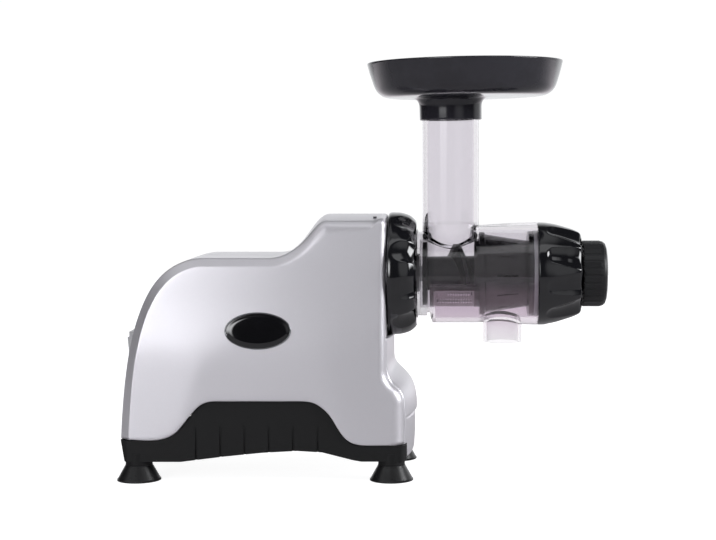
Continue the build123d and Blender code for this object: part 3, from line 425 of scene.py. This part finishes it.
def body_half(side):
    """One moulded half of the silver body: side face with its bevel band, rear wall, top and front wall."""
    P = outline_points()
    n = len(P)
    T = np.gradient(P, axis=0)
    T /= np.linalg.norm(T, axis=1)[:, None]
    Nn = np.stack([T[:, 1], -T[:, 0]], axis=1)                       # points into the body
    S = np.concatenate([[0], np.cumsum(np.linalg.norm(np.diff(P, axis=0), axis=1))])

    def at(x, z):
        return float(S[np.argmin((P[:, 0] - x) ** 2 + (P[:, 1] - z) ** 2)])

    # the inward directions fan out evenly round the tight top front corner, so the offsets never cross
    fine = np.linspace(S[0], S[-1], 6000)
    ang = np.interp(fine, S, np.unwrap(np.arctan2(Nn[:, 1], Nn[:, 0])))
    k = int(26.0 / (fine[1] - fine[0])) | 1
    soft = np.convolve(np.pad(ang, k // 2, mode="edge"), np.ones(k) / k, mode="valid")
    near = np.maximum(smooth(-np.abs(fine - at(17.0, 209.5)), -30.0, -16.0), smooth(-np.abs(fine - at(-30.0, 209.0)), -30.0, -16.0))
    ang = np.interp(S, fine, ang + (soft - ang) * near)
    Nn = np.stack([np.cos(ang), np.sin(ang)], axis=1)

    keys = [0.0, at(-190.5, 80), at(-178.5, 136), at(-164, 160), at(-128, 177), at(-76, 177), at(-58, 182), at(-44, 196), at(-29.5, 210.5), at(10, 210.5), at(18, 205), at(18, 90),
            at(23.0, 77.2), at(32.4, 59), S[-1]]
    d = np.interp(S, keys, [7.6, 7.2, 7.1, 7.6, 6.4, 6.2, 6.6, 7.8, 9.0, 8.8, 4.8, 5.4, 7.6, 9.6, 9.8])
    w = np.interp(S, keys, [7.4, 7.0, 6.8, 6.6, 5.6, 5.6, 5.2, 4.8, 4.4, 4.4, 4.4, 5.0, 7.0, 8.2, 8.2])
    c = np.interp(S, keys, [0, 0, 0, 0, 0.15, 0.15, 0.8, 2.8, 4.6, 4.4, 0, 0, 0, 0, 0])
    rnd = np.interp(S, keys, [0, 0, 0, 0, 0, 0, 0, 0, 0, 0.2, 1, 1, 1, 1, 1])
    ext = np.interp(S, keys, [0.9, 0.9, 0.9, 0.9, 0.9, 0.9, 2.4, 5.5, 8.5, 4.0, 0.9, 0.9, 0.9, 0.9, 0.9])
    front = S >= at(18, 205) - 0.5
    K = 15
    rows = []
    for i in range(n):
        q_i, q_p = d[i], c[i]
        at_q = lambda q: P[i] + Nn[i] * q
        h_i = float(side_h(*at_q(q_i)))
        h_a = float(side_h(*at_q(q_i + ext[i])))
        yi, yp = -h_i, -(h_i - w[i])
        # chamfer with a small round at each end
        ch = np.array([q_p - q_i, yp - yi])
        ch /= np.linalg.norm(ch)
        A, I = np.array([q_i + ext[i], -h_a]), np.array([q_i, yi])
        Pc = np.array([q_p, yp])
        B, C = I + ch * min(ext[i], 3.2), Pc - ch * 1.5
        crown = lambda y: q_p * (y / yp) ** 2 if yp else 0
        D = np.array([crown(yp + 1.6), yp + 1.6])
        flat = [(1 - t) ** 2 * A + 2 * t * (1 - t) * I + t * t * B for t in (0, 0.125, 0.25, 0.375, 0.5, 0.625, 0.75, 0.875, 1)]
        flat += [B + (C - B) * t for t in (0.25, 0.5, 0.75)]
        flat += [(1 - t) ** 2 * C + 2 * t * (1 - t) * Pc + t * t * D for t in (0, 0.2, 0.4, 0.6, 0.8, 1)]
        corner = np.array([q_p * 0.98, yi])
        rndp = []
        for k in range(18):
            t = k / 17
            g = (1 - t) ** 2 * A + 2 * t * (1 - t) * corner + t * t * D
            arc = np.array([A[0] + (D[0] - A[0]) * math.sin(t * math.pi / 2), A[1] + (D[1] - A[1]) * (1 - math.cos(t * math.pi / 2))])
            rndp.append(0.35 * g + 0.65 * arc)
        sec = [f * (1 - rnd[i]) + r * rnd[i] for f, r in zip(flat, rndp)]
        rows.append([(*(at_q(q)), y) for q, y in sec])
    cols = len(rows[0])
    verts = [(x, y, z) for r in rows for (x, z, y) in r]
    faces = grid_faces(n, cols)
    # top and rear wall, from the band to the parting line
    top_n = int(np.argmax(front)) + 1
    ys = [0.93, 0.86, 0.76, 0.64, 0.5, 0.36, 0.22, 0.1]
    groove = ((-1.0, 0.0), (-0.55, 0.04), (-0.2, 0.35), (-0.06, 0.9))
    rear_n = int(np.argmax(P[:, 1] > 150.0))
    base = len(verts)
    for i in range(rear_n, top_n):
        yD = rows[i][-1][2]
        pp = [(rows[i][-1][0], rows[i][-1][2], rows[i][-1][1])]
        for f in ys:
            q = c[i] * (f * yD / -(float(side_h(*(P[i] + Nn[i] * d[i]))) - w[i])) ** 2
            x, z = P[i] + Nn[i] * q
            pp.append((x, f * yD, z))
        for y, q in groove:
            x, z = P[i] + Nn[i] * q
            pp.append((x, y, z))
        verts += pp
    faces += grid_faces(top_n - rear_n, len(ys) + 5, offset=base)
    # lower rear wall, with the openings for the mains gland and the switch
    rear_s = lambda z: float(np.interp(z, P[:rear_n + 1, 1], S[:rear_n + 1]))
    gz, sz, top_y = rear_s(58.0), rear_s(99.0), rows[rear_n][-1][2]
    g_half, s_half = math.sqrt(7.6 ** 2 - 1.0), 14.2
    loop = [(rows[i][-1][2], S[i]) for i in range(rear_n + 1)]
    loop += [(f * top_y, S[rear_n]) for f in ys] + [(-1.0, S[rear_n])]
    knots = lambda lo_, hi_: [lo_] + [v for v in S[:rear_n + 1] if lo_ + 0.4 < v < hi_ - 0.4] + [hi_]
    spans = [knots(0.0, gz - g_half), knots(gz + g_half, sz - s_half), knots(sz + s_half, S[rear_n])]
    loop += [(-1.0, v) for v in spans[2][::-1][1:]]
    loop += [(v, sz + s_half) for v in (-3.0, -5.0, -7.0, -9.0)]
    loop += [(-10.2 + 1.2 * (1 - math.sin(t)), sz + s_half - 1.2 * (1 - math.cos(t))) for t in np.linspace(0, math.pi / 2, 5)[1:]]
    loop += [(-10.2, sz + v) for v in np.linspace(s_half - 1.2, -s_half + 1.2, 12)[1:-1]]
    loop += [(-10.2 + 1.2 * (1 - math.cos(t)), sz - s_half + 1.2 * (1 - math.sin(t))) for t in np.linspace(0, math.pi / 2, 5)]
    loop += [(v, sz - s_half) for v in (-7.0, -5.0, -3.0)]
    loop += [(-1.0, v) for v in spans[1][::-1]]
    a0 = math.acos(g_half / 7.6)
    loop += [(-7.6 * math.sin(t), gz + 7.6 * math.cos(t)) for t in np.linspace(a0, math.pi - a0, 25)[1:-1]]
    loop += [(-1.0, v) for v in spans[0][::-1]]
    loop += [(f * rows[0][-1][2], 0.0) for f in ys[::-1]]
    pts, tris = fill(loop, 3.4)
    base = len(verts)
    for y, v in pts:
        verts.append((float(np.interp(v, S, P[:, 0])), y, float(np.interp(v, S, P[:, 1]))))
    faces += [tuple(v + base for v in t) for t in tris]
    nxs, nzs = Nn[:, 0], Nn[:, 1]
    for sp in spans:
        base = len(verts)
        for v in sp:
            px_, pz_, nx_, nz_ = (float(np.interp(v, S, arr)) for arr in (P[:, 0], P[:, 1], nxs, nzs))
            for y, q in groove:
                verts.append((px_ + nx_ * q, y, pz_ + nz_ * q))
        faces += grid_faces(len(sp), 4, offset=base)
    # front wall, with the hole for the drum hub
    fi = list(range(top_n - 1, n))
    fz = np.array([P[i][1] for i in fi])[::-1]
    fx = np.array([P[i][0] for i in fi])[::-1]
    rim = [(rows[i][-1][2], rows[i][-1][1]) for i in fi]              # (y, z) down the band's inner edge
    z_top, z_bot = rim[0][1], rim[-1][1]
    loop = list(rim)
    loop += [(rim[-1][0] + (-0.06 - rim[-1][0]) * t, z_bot) for t in np.linspace(0, 1, 14)[1:]]
    cut = [(-43.2 * math.sin(a), AXZ - 43.2 * math.cos(a)) for a in np.linspace(0, math.pi, 61)]
    cut = [(min(y, -0.06), z) for y, z in cut]
    zs = line((-0.06, z_bot), cut[0], 3.5)[1:-1]
    loop += [tuple(v) for v in zs] + cut
    loop += [tuple(v) for v in line(cut[-1], (-0.06, z_top), 1.5)[1:]]
    loop += [tuple(v) for v in line((-0.06, z_top), rim[0], 3.5)[1:-1]]
    pts, tris = fill(loop, 3.6)
    base = len(verts)
    for y, z in pts:
        verts.append((float(np.interp(z, fz, fx)), y, z))
    faces += [tuple(v + base for v in t) for t in tris]
    # side face
    low = lower_line()
    a_loop = [(r[0][0], r[0][1]) for r in rows]
    low = low[(low[:, 0] > a_loop[0][0] + 0.8) & (low[:, 0] < a_loop[-1][0] - 0.8)]
    low = np.vstack([a_loop[0], low, a_loop[-1]])
    ln = np.gradient(low, axis=0)
    ln /= np.linalg.norm(ln, axis=1)[:, None]
    up = np.stack([-ln[:, 1], ln[:, 0]], axis=1)
    edge = [tuple(v) for v in (low[1:-1] + up[1:-1] * 0.75)]
    loop = a_loop + edge[::-1]
    pts, tris = fill(loop, 3.1)
    base = len(verts)
    for x, z in pts:
        verts.append((x, -float(side_h(x, z)), z))
    faces += [tuple(v + base for v in t) for t in tris]
    # rounded lower lip
    base = len(verts)
    lip = [(0.75, 0.0), (0.35, 0.06), (0.08, 0.3), (0.0, 0.75), (0.0, 1.5)]
    for k in range(len(low)):
        for off, inn in lip:
            if k in (0, len(low) - 1):
                off = 0.0
            x, z = low[k] + up[k] * off
            xs, zs_ = low[k] + up[k] * (0.0 if k in (0, len(low) - 1) else 0.75)
            verts.append((x, -float(side_h(xs, zs_)) + (inn if k not in (0, len(low) - 1) else inn), z))
    faces += grid_faces(len(low), len(lip), offset=base)
    if side > 0:
        verts = [(x, -y, z) for x, y, z in verts]
    return verts, faces


def inside(poly, q):
    """Which points are inside a closed polygon."""
    px, pz = poly[:, 0], poly[:, 1]
    qx, qz = np.roll(px, -1), np.roll(pz, -1)
    res = np.zeros(len(q), bool)
    for i in range(len(poly)):
        cond = (pz[i] > q[:, 1]) != (qz[i] > q[:, 1])
        with np.errstate(divide="ignore", invalid="ignore"):
            xc = (qx[i] - px[i]) * (q[:, 1] - pz[i]) / (qz[i] - pz[i]) + px[i]
        res ^= cond & (q[:, 0] < xc)
    return res


def fill(loop, step, keep_out=None):
    """Triangles over the inside of a closed loop, with evenly spread points between."""
    poly = np.array(loop, float)
    lo, hi = poly.min(0), poly.max(0)
    g = []
    r = 0
    z = lo[1] + step * 0.5
    while z < hi[1]:
        x = lo[0] + (step * 0.5 if r % 2 else step)
        while x < hi[0]:
            g.append((x, z))
            x += step
        z += step * 0.87
        r += 1
    g = np.array(g)
    g = g[inside(poly, g)]
    dist = np.full(len(g), 1e9)
    nxt = np.roll(poly, -1, axis=0)
    for a, b in zip(poly, nxt):
        ab = b - a
        t = np.clip(((g - a) @ ab) / max(1e-12, ab @ ab), 0, 1)
        dist = np.minimum(dist, np.linalg.norm(g - (a + t[:, None] * ab), axis=1))
    g = g[dist > step * 0.45]
    pts = [Vector(p) for p in poly] + [Vector(p) for p in g]
    edges = [(i, (i + 1) % len(poly)) for i in range(len(poly))]
    out = delaunay_2d_cdt(pts, edges, [], 1, 1e-6)
    return [tuple(v) for v in out[0]], [tuple(f) for f in out[2]]


for side, nm, node in ((-1, "body_shell_left", "housing_left"), (1, "body_shell_right", "housing_right")):
    v, f = body_half(side)
    shell = make(nm, v, f, M["silver_shell"], "machine", (node,), 34.0)
    modifier(shell, "SOLIDIFY", thickness=0.0022, offset=-1.0, use_rim=True)


# ------------------------------------------------------------------ badge, laid on the side face
BX, BZ, BA, BB = -82.3, 120.0, 26.3, 14.6


def badge_point(rho, phi, height):
    x, z = BX + BA * rho * math.cos(phi), BZ + BB * rho * math.sin(phi)
    return x, -(float(side_h(x, z)) + height), z


def ellipse_offset(t):
    """Ellipse inset by t mm, as scale factors of the outer one."""
    return (BA - t) / BA, (BB - t) / BB


def badge_ring(profile, n=160):
    vs = []
    for k in range(n):
        a = 2 * math.pi * k / n
        for t, hgt in profile:
            fa, fb = ellipse_offset(t)
            x, z = BX + BA * fa * math.cos(a), BZ + BB * fb * math.sin(a)
            vs.append((x, -(float(side_h(x, z)) + hgt), z))
    return vs


rim_profile = [(0.0, -0.5), (0.0, 0.25), (0.12, 0.52), (0.35, 0.70), (0.62, 0.74), (0.86, 0.66), (1.02, 0.46), (1.08, 0.2), (1.08, -0.5)]
v = badge_ring(rim_profile)
make("badge_rim_bead", v, grid_faces(160, len(rim_profile), close_u=True, close_v=True), M["badge_chrome"], "machine", ("badge_rim",), 50.0)
prof = [(1.10, -0.5), (1.10, 0.28), (1.25, 0.40), (1.6, 0.46), (2.6, 0.60)]
v = badge_ring(prof)
rings = len(prof)
extra = 26
for k in range(160):
    a = 2 * math.pi * k / 160
    fa, fb = ellipse_offset(2.6)
    for j in range(1, extra + 1):
        r = (1 - j / (extra + 1.0)) ** 0.4
        x, z = BX + BA * fa * r * math.cos(a), BZ + BB * fb * r * math.sin(a)
        v.append((x, -(float(side_h(x, z)) + 0.60 + 0.50 * (1 - r ** 13)), z))
f = grid_faces(160, rings, close_u=True)
for k in range(160):
    k2 = (k + 1) % 160
    row = lambda kk, j: kk * rings + rings - 1 if j == 0 else 160 * rings + kk * extra + j - 1
    for j in range(extra):
        f.append((row(k, j), row(k2, j), row(k2, j + 1), row(k, j + 1)))
v.append((BX, -(float(side_h(BX, BZ)) + 1.1), BZ))
f += [(160 * rings + k * extra + extra - 1, 160 * rings + ((k + 1) % 160) * extra + extra - 1, len(v) - 1) for k in range(160)]
f.append(tuple(k * rings for k in range(160)))
make("badge_dome", v, f, M["badge_black"], "machine", ("badge_plate",), 50.0)


# ------------------------------------------------------------------ lock mark, flush with the crowned top
def top_z(x, y):
    """Height of the silver top over (x, y) on the high part of the body."""
    yp = 52.8
    return 210.5 - 4.5 * (y / yp) ** 2


v, f = [], []
mark_rings = [(1.5, -1.6), (1.5, 0.05), (1.38, 0.16), (1.1, 0.2), (0.55, 0.2)]
for r_, dz in mark_rings:
    for k in range(40):
        a = 2 * math.pi * k / 40
        x, y = 9.0 + r_ * math.cos(a), -30.0 + r_ * math.sin(a)
        v.append((x, y, top_z(x, y) + dz))
f = grid_faces(len(mark_rings), 40, close_v=True)
v.append((9.0, -30.0, top_z(9.0, -30.0) + 0.2))
f += [((len(mark_rings) - 1) * 40 + k, (len(mark_rings) - 1) * 40 + (k + 1) % 40, len(v) - 1) for k in range(40)]
f.append(tuple(range(39, -1, -1)))
make("lock_mark_dot", v, f, M["mark_grey"], "machine", ("lock_mark",), 40.0)


# ------------------------------------------------------------------ front cover
def front_cover():
    """Crowned silver panel down the front, flared out over the base, with a notch across it."""
    mid = chain(line((38.0, 17.2), (38.9, 19.6), 1.0), line((38.9, 19.6), (39.75, 32.0), 2.6), line((39.75, 32.0), (39.75, 47.4), 2.6),
                cubic([(39.75, 47.4), (39.5, 48.3), (38.9, 48.9), (38.85, 49.7), (39.6, 50.4), (40.8, 50.9), (41.3, 51.8)], 0.35, (0, 1), (0.1, 1)),
                cubic([(41.3, 51.8), (41.35, 55.2), (40.7, 61.8), (39.8, 66.8), (38.1, 71.8), (36.5, 75.1), (34.0, 78.4), (30.7, 81.7), (27.4, 84.4), (24.5, 87.6), (22.9, 92.0), (22.6, 100.0)],
                      1.3, (0.02, 1), (0, 1)), line((22.6, 100.0), (22.6, 113.5), 2.4))
    ex = cubic([(31.6, 16.0), (32.3, 30.0), (32.5, 58.0), (31.5, 65.2), (28.6, 71.8), (21.9, 78.5), (18.7, 87.0), (18.25, 97.0), (18.25, 115.0)], 1.0, (0.02, 1), (0, 1))
    hw = 47.2
    ts = [-1.0, -0.992, -0.975, -0.95, -0.915, -0.87, -0.81, -0.74, -0.66, -0.57, -0.47, -0.36, -0.24, -0.12, 0.0]
    ts = ts + [-t for t in ts[-2::-1]]
    vs = []
    for x, z in mid:
        xe = float(np.interp(z, ex[:, 1], ex[:, 0]))
        for t in ts:
            a = abs(t)
            crown = a ** 2.1
            edge = 1.3 * (1 - math.sqrt(max(0.0, 1 - ((a - 0.955) / 0.045) ** 2))) if a > 0.955 else 0.0
            vs.append((x + (xe + 0.5 - x) * crown - edge, t * hw, z))
    return vs, grid_faces(len(mid), len(ts))


v, f = front_cover()
cover = make("cover_panel", v, f, M["silver_shell"], "machine", ("front_cover",), 60.0)
modifier(cover, "SOLIDIFY", thickness=0.0018, offset=-1.0, use_rim=True)


# ------------------------------------------------------------------ turned and scooped parts
def scooped(profile, alpha, depth, count, first, x_range, cols=480, k=0.16):
    """Surface of revolution round the auger axis with shallow finger scoops sunk into its outer face.

    profile is a closed list of (x, r, is_outer); alpha and depth give a scoop's half width in degrees and
    its depth at x."""
    vs = []
    pitch = 360.0 / count
    for x, r, outer in profile:
        al, dp = (float(alpha(x)), float(depth(x))) if outer and x_range[0] < x < x_range[1] else (0.0, 0.0)
        cut = al > 0.2 and dp > 0.01
        if cut:
            S_, C_ = r * math.sin(math.radians(al)), r * math.cos(math.radians(al))
            A_ = r - dp - C_
            if A_ > -0.02:
                A_ = -0.02
            rho = (A_ * A_ + S_ * S_) / (-2 * A_)
            cc = C_ + A_ + rho
        for j in range(cols):
            th = 360.0 * j / cols
            rr = r
            if cut:
                dl = (th - first + pitch / 2) % pitch - pitch / 2
                sn = math.sin(math.radians(dl))
                if abs(cc * sn) < rho:
                    rc = cc * math.cos(math.radians(dl)) - math.sqrt(rho * rho - (cc * sn) ** 2)
                    m_ = min(rc, r)
                    rr = m_ - k * math.log(math.exp(-(rc - m_) / k) + math.exp(-(r - m_) / k))
            a = math.radians(th)
            vs.append((x, -rr * math.cos(a), AXZ + rr * math.sin(a)))
    return vs, grid_faces(len(profile), cols, close_u=True, close_v=True)


def dense(pts, step):
    """Outer profile resampled on a smooth curve."""
    return [(float(a), float(b), True) for a, b in cubic(pts, step)]


ring_outer = [(18.9, 48.4, True), (18.95, 48.9, True), (19.2, 49.35, True)] + dense([(19.7, 49.85), (21.0, 50.22), (24.0, 50.35), (27.0, 50.3), (29.8, 49.95), (32.6, 49.2), (36.0, 47.9), (38.6, 46.0), (40.3, 44.3)], 0.62) \
    + [(40.9, 43.5, True), (41.3, 42.8, True), (41.55, 42.2, True), (41.65, 41.6, False)]
ring_inner = [(41.65, 37.2, False), (41.4, 36.6, False), (40.8, 36.45, False), (39.5, 36.45, False), (39.5, 40.0, False), (34.4, 40.0, False), (34.4, 42.4, False), (31.0, 42.4, False),
              (31.0, 44.2, False), (22.0, 44.2, False), (22.0, 42.4, False), (18.9, 42.4, False)]
ring_alpha = lambda x: 10.4 * math.sqrt(max(0.0, 1 - ((32.0 - x) / 11.0) ** 2)) if x < 32.0 else 10.4 + 0.9 * (x - 32.0) / 9.0
ring_depth = lambda x: np.interp(x, [21.0, 23.0, 26.0, 30.0, 34.0, 38.0, 41.6], [0.05, 0.55, 1.35, 2.1, 2.7, 3.0, 3.1])
v, f = scooped(ring_outer + ring_inner, ring_alpha, ring_depth, 10, -11.0, (21.1, 41.6))
make("ring_moulding", v, f, M["gloss_black"], "ring_body", ("locking_ring",), 42.0)

cap_outer = [(140.05, 41.6, True), (140.3, 41.9, True)] + dense([(140.7, 42.0), (144.0, 42.0), (149.0, 41.5), (154.0, 40.7), (159.0, 39.5), (164.0, 38.1), (168.6, 36.7), (172.0, 35.3)], 0.62) \
    + [(172.9, 34.9, True), (173.7, 34.4, True), (174.4, 33.7, True), (174.9, 32.9, True), (175.25, 31.9, True), (175.4, 30.8, False)]
cap_inner = [(175.45, 28.0, False), (175.45, 22.0, False), (175.45, 16.0, False), (175.45, 14.0, False), (186.6, 14.0, False), (186.6, 11.0, False), (154.0, 11.0, False), (154.0, 14.0, False),
             (170.6, 14.0, False), (170.6, 28.0, False), (167.0, 31.4, False), (156.6, 34.0, False), (149.6, 34.0, False), (149.6, 38.5, False), (140.05, 38.5, False)]
cap_alpha = lambda x: (8.6 + 6.2 * (x - 149.0) / 22.0) * math.sqrt(max(0.0, 1 - ((151.5 - x) / 5.2) ** 2)) if x < 151.5 else 8.6 + 6.2 * (x - 149.0) / 22.0
cap_depth = lambda x: np.interp(x, [146.3, 147.6, 150.0, 155.0, 163.0, 170.0, 175.0], [0.05, 0.9, 1.6, 2.2, 2.9, 3.1, 3.1])
v, f = scooped(cap_outer + cap_inner, cap_alpha, cap_depth, 10, -11.0, (146.35, 175.3))
make("cap_moulding", v, f, M["gloss_black"], "cap_body", ("end_cap",), 42.0)

# ------------------------------------------------------------------ hopper tray
TX, TCX, TILT = 69.2, 81.7, math.radians(1.1)


def tray_piece():
    n = 192
    out = [tuple(q) for q in cubic([(61.0, 305.2), (66.4, 306.3), (69.6, 308.2), (72.2, 310.9), (74.3, 315.2), (75.9, 320.0), (77.5, 325.2), (79.1, 331.2), (79.4, 332.3)], 1.3, (1, 0.1), (0.25, 1))]
    lip = [(79.42, 332.75), (79.2, 333.15), (78.75, 333.4), (78.2, 333.35), (77.7, 333.0), (77.45, 332.6)]
    inn = [tuple(q) for q in cubic([(77.4, 332.2), (75.5, 325.4), (73.9, 320.4), (72.3, 315.8), (70.2, 312.0), (67.6, 309.6), (64.4, 308.2), (59.6, 307.4)], 1.6, (-0.25, -1), (-1, -0.05))]
    # the flat disc carries an off-centre neck, so the part near the neck is turned about the feed tube's axis
    vs, fs = [], []

    def ringrow(r, z, blend):
        """A loop that goes from the dish's axis (blend 0) to the tube's axis (blend 1)."""
        cx = TCX + (TX - TCX) * blend
        return [(cx + r * math.cos(2 * math.pi * k / n), r * math.sin(2 * math.pi * k / n), z) for k in range(n)]

    rows = []
    under = [(61.0, 305.2, 0.0), (54.0, 305.05, 0.22), (47.0, 304.95, 0.48), (40.0, 304.85, 0.75), (34.0, 304.75, 0.95)]
    neck_out = [tuple(q) + (1.0,) for q in cubic([(31.0, 304.65), (28.6, 304.0), (26.7, 302.3), (25.6, 299.6), (25.3, 296.0), (25.25, 291.0), (25.2, 287.6)], 0.9, (-1, -0.05), (0, -1))]
    neck_end = [(25.1, 287.1, 1.0), (24.7, 286.75, 1.0), (24.2, 286.65, 1.0), (23.7, 286.8, 1.0), (23.35, 287.3, 1.0)]
    neck_in = [(23.3, 292.0, 1.0), (23.3, 298.0, 1.0), (23.3, 303.2, 1.0), (23.1, 303.4, 1.0), (20.2, 303.4, 1.0), (19.9, 303.7, 1.0), (19.9, 306.0, 1.0), (20.2, 306.8, 1.0), (21.0, 307.2, 1.0), (24.0, 307.25, 1.0)]
    floor_rows = [(30.0, 307.25, 0.95), (37.0, 307.25, 0.8), (44.0, 307.3, 0.55), (52.0, 307.32, 0.25), (59.6, 307.4, 0.0)]
    seq = [(r, z, 0.0) for r, z in lip[::-1]] + [(r, z, 0.0) for r, z in out[::-1]] + under[1:] + neck_out + neck_end + neck_in + floor_rows[:-1] + [(r, z, 0.0) for r, z in inn[::-1]]
    for r, z, bl in seq:
        rows.append(ringrow(r, z, bl))
    for row in rows:
        vs += row
    fs = grid_faces(len(rows), n, close_u=True, close_v=True)
    c, s_ = math.cos(TILT), math.sin(TILT)
    res = []
    for x, y, z in vs:
        dx, dz = x - TX, z - 294.5
        res.append((TX + dx * c - dz * s_, y, 294.5 + dx * s_ + dz * c))
    return res, fs


v, f = tray_piece()
TRAY_BLACK = gloss_black("tray_black", (0.021, 0.020, 0.026), (0.10, 0.15), 0.0)
make("tray_moulding", v, f, TRAY_BLACK, "tray_body", ("hopper_tray",), 55.0)

# ------------------------------------------------------------------ stage

bm = bmesh.new()
bmesh.ops.create_grid(bm, x_segments=40, y_segments=40, size=2.2)
me = bpy.data.meshes.new("floor")
bm.to_mesh(me)
bm.free()
floor = bpy.data.objects.new("floor", me)
scene.collection.objects.link(floor)
fm = Mat("floor_paper")
fg = fm.noise(6.0, 3.0)
tone = fm.mix(fm.remap(fg, 0.0, 1.0, 0.3, 0.7), (0.36, 0.36, 0.365), (0.40, 0.40, 0.405))
fp = fm.principled(tone, 0.85, fm.bump(fm.noise(300.0), 0.05, 0.0002))

flp = fm.node("LightPath")
fx, fy, _ = fm.xyz()
px_, py_ = fm.math("ADD", fx, 0.18), fm.math("ADD", fy, 0.30)
reach = fm.math("SQRT", fm.math("ADD", fm.math("MULTIPLY", px_, px_), fm.math("MULTIPLY", py_, py_)))
seen_floor = fm.math("MAXIMUM", flp.outputs["Is Camera Ray"], flp.outputs["Is Transmission Ray"])
fm.link(fm.mix(seen_floor, (1.0, 0.93, 0.985), (1.0, 1.0, 1.0)), fp.inputs["Emission Color"])
bounce = fm.math("ADD", fm.remap(reach, 0.14, 0.05, 0.25, 1.1), fm.remap(fy, 0.0, 0.80, 0.25, 1.2))
fm.link(fm.math("ADD", fm.math("MULTIPLY", seen_floor, fm.math("SUBTRACT", 0.92, bounce)), bounce), fp.inputs["Emission Strength"])
me.materials.append(fm.m)
floor.location = (0, 0, -0.0002)

world = bpy.data.worlds.new("studio")
scene.world = world
world.use_nodes = True
wt = world.node_tree
wt.nodes.clear()


def wnode(kind, **props):
    nd = wt.nodes.new("ShaderNode" + kind)
    for k, v in props.items():
        setattr(nd, k, v)
    return nd


def wmath(op, a, b=None, clamp=False):
    nd = wnode("Math", operation=op, use_clamp=clamp)
    for i, v in enumerate((a, b)):
        if v is None:
            continue
        if isinstance(v, (int, float)):
            nd.inputs[i].default_value = v
        else:
            wt.links.new(v, nd.inputs[i])
    return nd.outputs[0]


wc = wnode("TexCoord").outputs["Generated"]


def lobe(direction, inner, outer):
    """1 towards a direction, falling to 0 between two angles in degrees."""
    nd = wnode("VectorMath", operation="DOT_PRODUCT")
    wt.links.new(wc, nd.inputs[0])
    nd.inputs[1].default_value = Vector(direction).normalized()
    mr = wnode("MapRange", interpolation_type="SMOOTHSTEP")
    wt.links.new(nd.outputs["Value"], mr.inputs["Value"])
    mr.inputs["From Min"].default_value = math.cos(math.radians(outer))
    mr.inputs["From Max"].default_value = math.cos(math.radians(inner))
    return mr.outputs["Result"]


def wvec(op, a_, vec):
    nd = wnode("VectorMath", operation=op)
    wt.links.new(a_, nd.inputs[0])
    nd.inputs[1].default_value = vec
    return nd.outputs["Value"]


def panel(azimuth, elevation, half_w, half_h, soft=2.0, soft_h=None):
    """1 inside a rectangular softbox: azimuth from the front (-Y) towards +X, in degrees."""
    az, el = math.radians(azimuth), math.radians(elevation)
    c = Vector((math.sin(az) * math.cos(el), -math.cos(az) * math.cos(el), math.sin(el)))
    r = Vector((math.cos(az), math.sin(az), 0.0))
    u = r.cross(c) * -1.0
    dc = wvec("DOT_PRODUCT", wc, c)
    front_ = wmath("MAXIMUM", dc, 0.02)
    out = None
    for axis, half, edge_ in ((r, half_w, soft), (u, half_h, soft_h or soft)):
        t = wmath("ABSOLUTE", wmath("DIVIDE", wvec("DOT_PRODUCT", wc, axis), front_))
        mr = wnode("MapRange", interpolation_type="SMOOTHSTEP")
        wt.links.new(t, mr.inputs["Value"])
        mr.inputs["From Min"].default_value = math.tan(math.radians(half + edge_))
        mr.inputs["From Max"].default_value = math.tan(math.radians(max(0.5, half - edge_)))
        out = mr.outputs["Result"] if out is None else wmath("MULTIPLY", out, mr.outputs["Result"])
    return wmath("MULTIPLY", out, wmath("GREATER_THAN", dc, 0.0))


# dim room with a white wall behind, softboxes front left, right and overhead
glow = 0.03
for part, power in (
        (lobe((0.0, 1.0, 0.0), 20, 50), 1.10),
        (lobe((0.80, 0.55, 0.05), 12, 36), 0.75),
        (panel(-29, 13.0, 13.5, 10.0, 2.5, 8.0), 7.6),
        (panel(79, 21, 16.0, 11.5, 3.0), 11.0),
        (panel(10, 62, 30.0, 9.5, 3.0), 1.25),
        (lobe((0.52, -0.82, 0.26), 8, 26), 0.55),
        (lobe((-0.60, -0.18, 0.78), 8, 24), 0.95),
        (lobe((0.0, 0.05, 1.0), 10, 28), 0.56),
        (lobe((-0.78, -0.50, 0.40), 8, 22), 0.15)):
    glow = wmath("ADD", wmath("MULTIPLY", part, power), glow)
glow = wmath("MAXIMUM", glow, 0.02)
lp = wnode("LightPath")
seen = wmath("MAXIMUM", lp.outputs["Is Camera Ray"], lp.outputs["Is Transmission Ray"])
bg_room, bg_seen, mixer, wout = wnode("Background"), wnode("Background"), wnode("MixShader"), wnode("OutputWorld")
bg_room.inputs["Color"].default_value = (0.97, 0.98, 1.0, 1)
wt.links.new(glow, bg_room.inputs["Strength"])
bg_seen.inputs["Color"].default_value = (1, 1, 1, 1)
bg_seen.inputs["Strength"].default_value = 1.02
wt.links.new(seen, mixer.inputs[0])
wt.links.new(bg_room.outputs[0], mixer.inputs[1])
wt.links.new(bg_seen.outputs[0], mixer.inputs[2])
wt.links.new(mixer.outputs[0], wout.inputs["Surface"])


cam_d = bpy.data.cameras.new("camera")
cam = bpy.data.objects.new("camera", cam_d)
scene.collection.objects.link(cam)
scene.camera = cam
cam_d.sensor_width = 36.0
cam_d.sensor_fit = "HORIZONTAL"
cam_d.lens = 36.0 * 1573.0 / 716.0
cam_d.shift_x = -104.0 / 716.0
cam_d.clip_start, cam_d.clip_end = 0.05, 50.0
cam.location = (0.0785, -1.287, 0.2534)
cam.rotation_euler = (math.radians(90.0 - 3.96), 0, 0)

scene.view_settings.view_transform = "Standard"
scene.view_settings.look = "None"
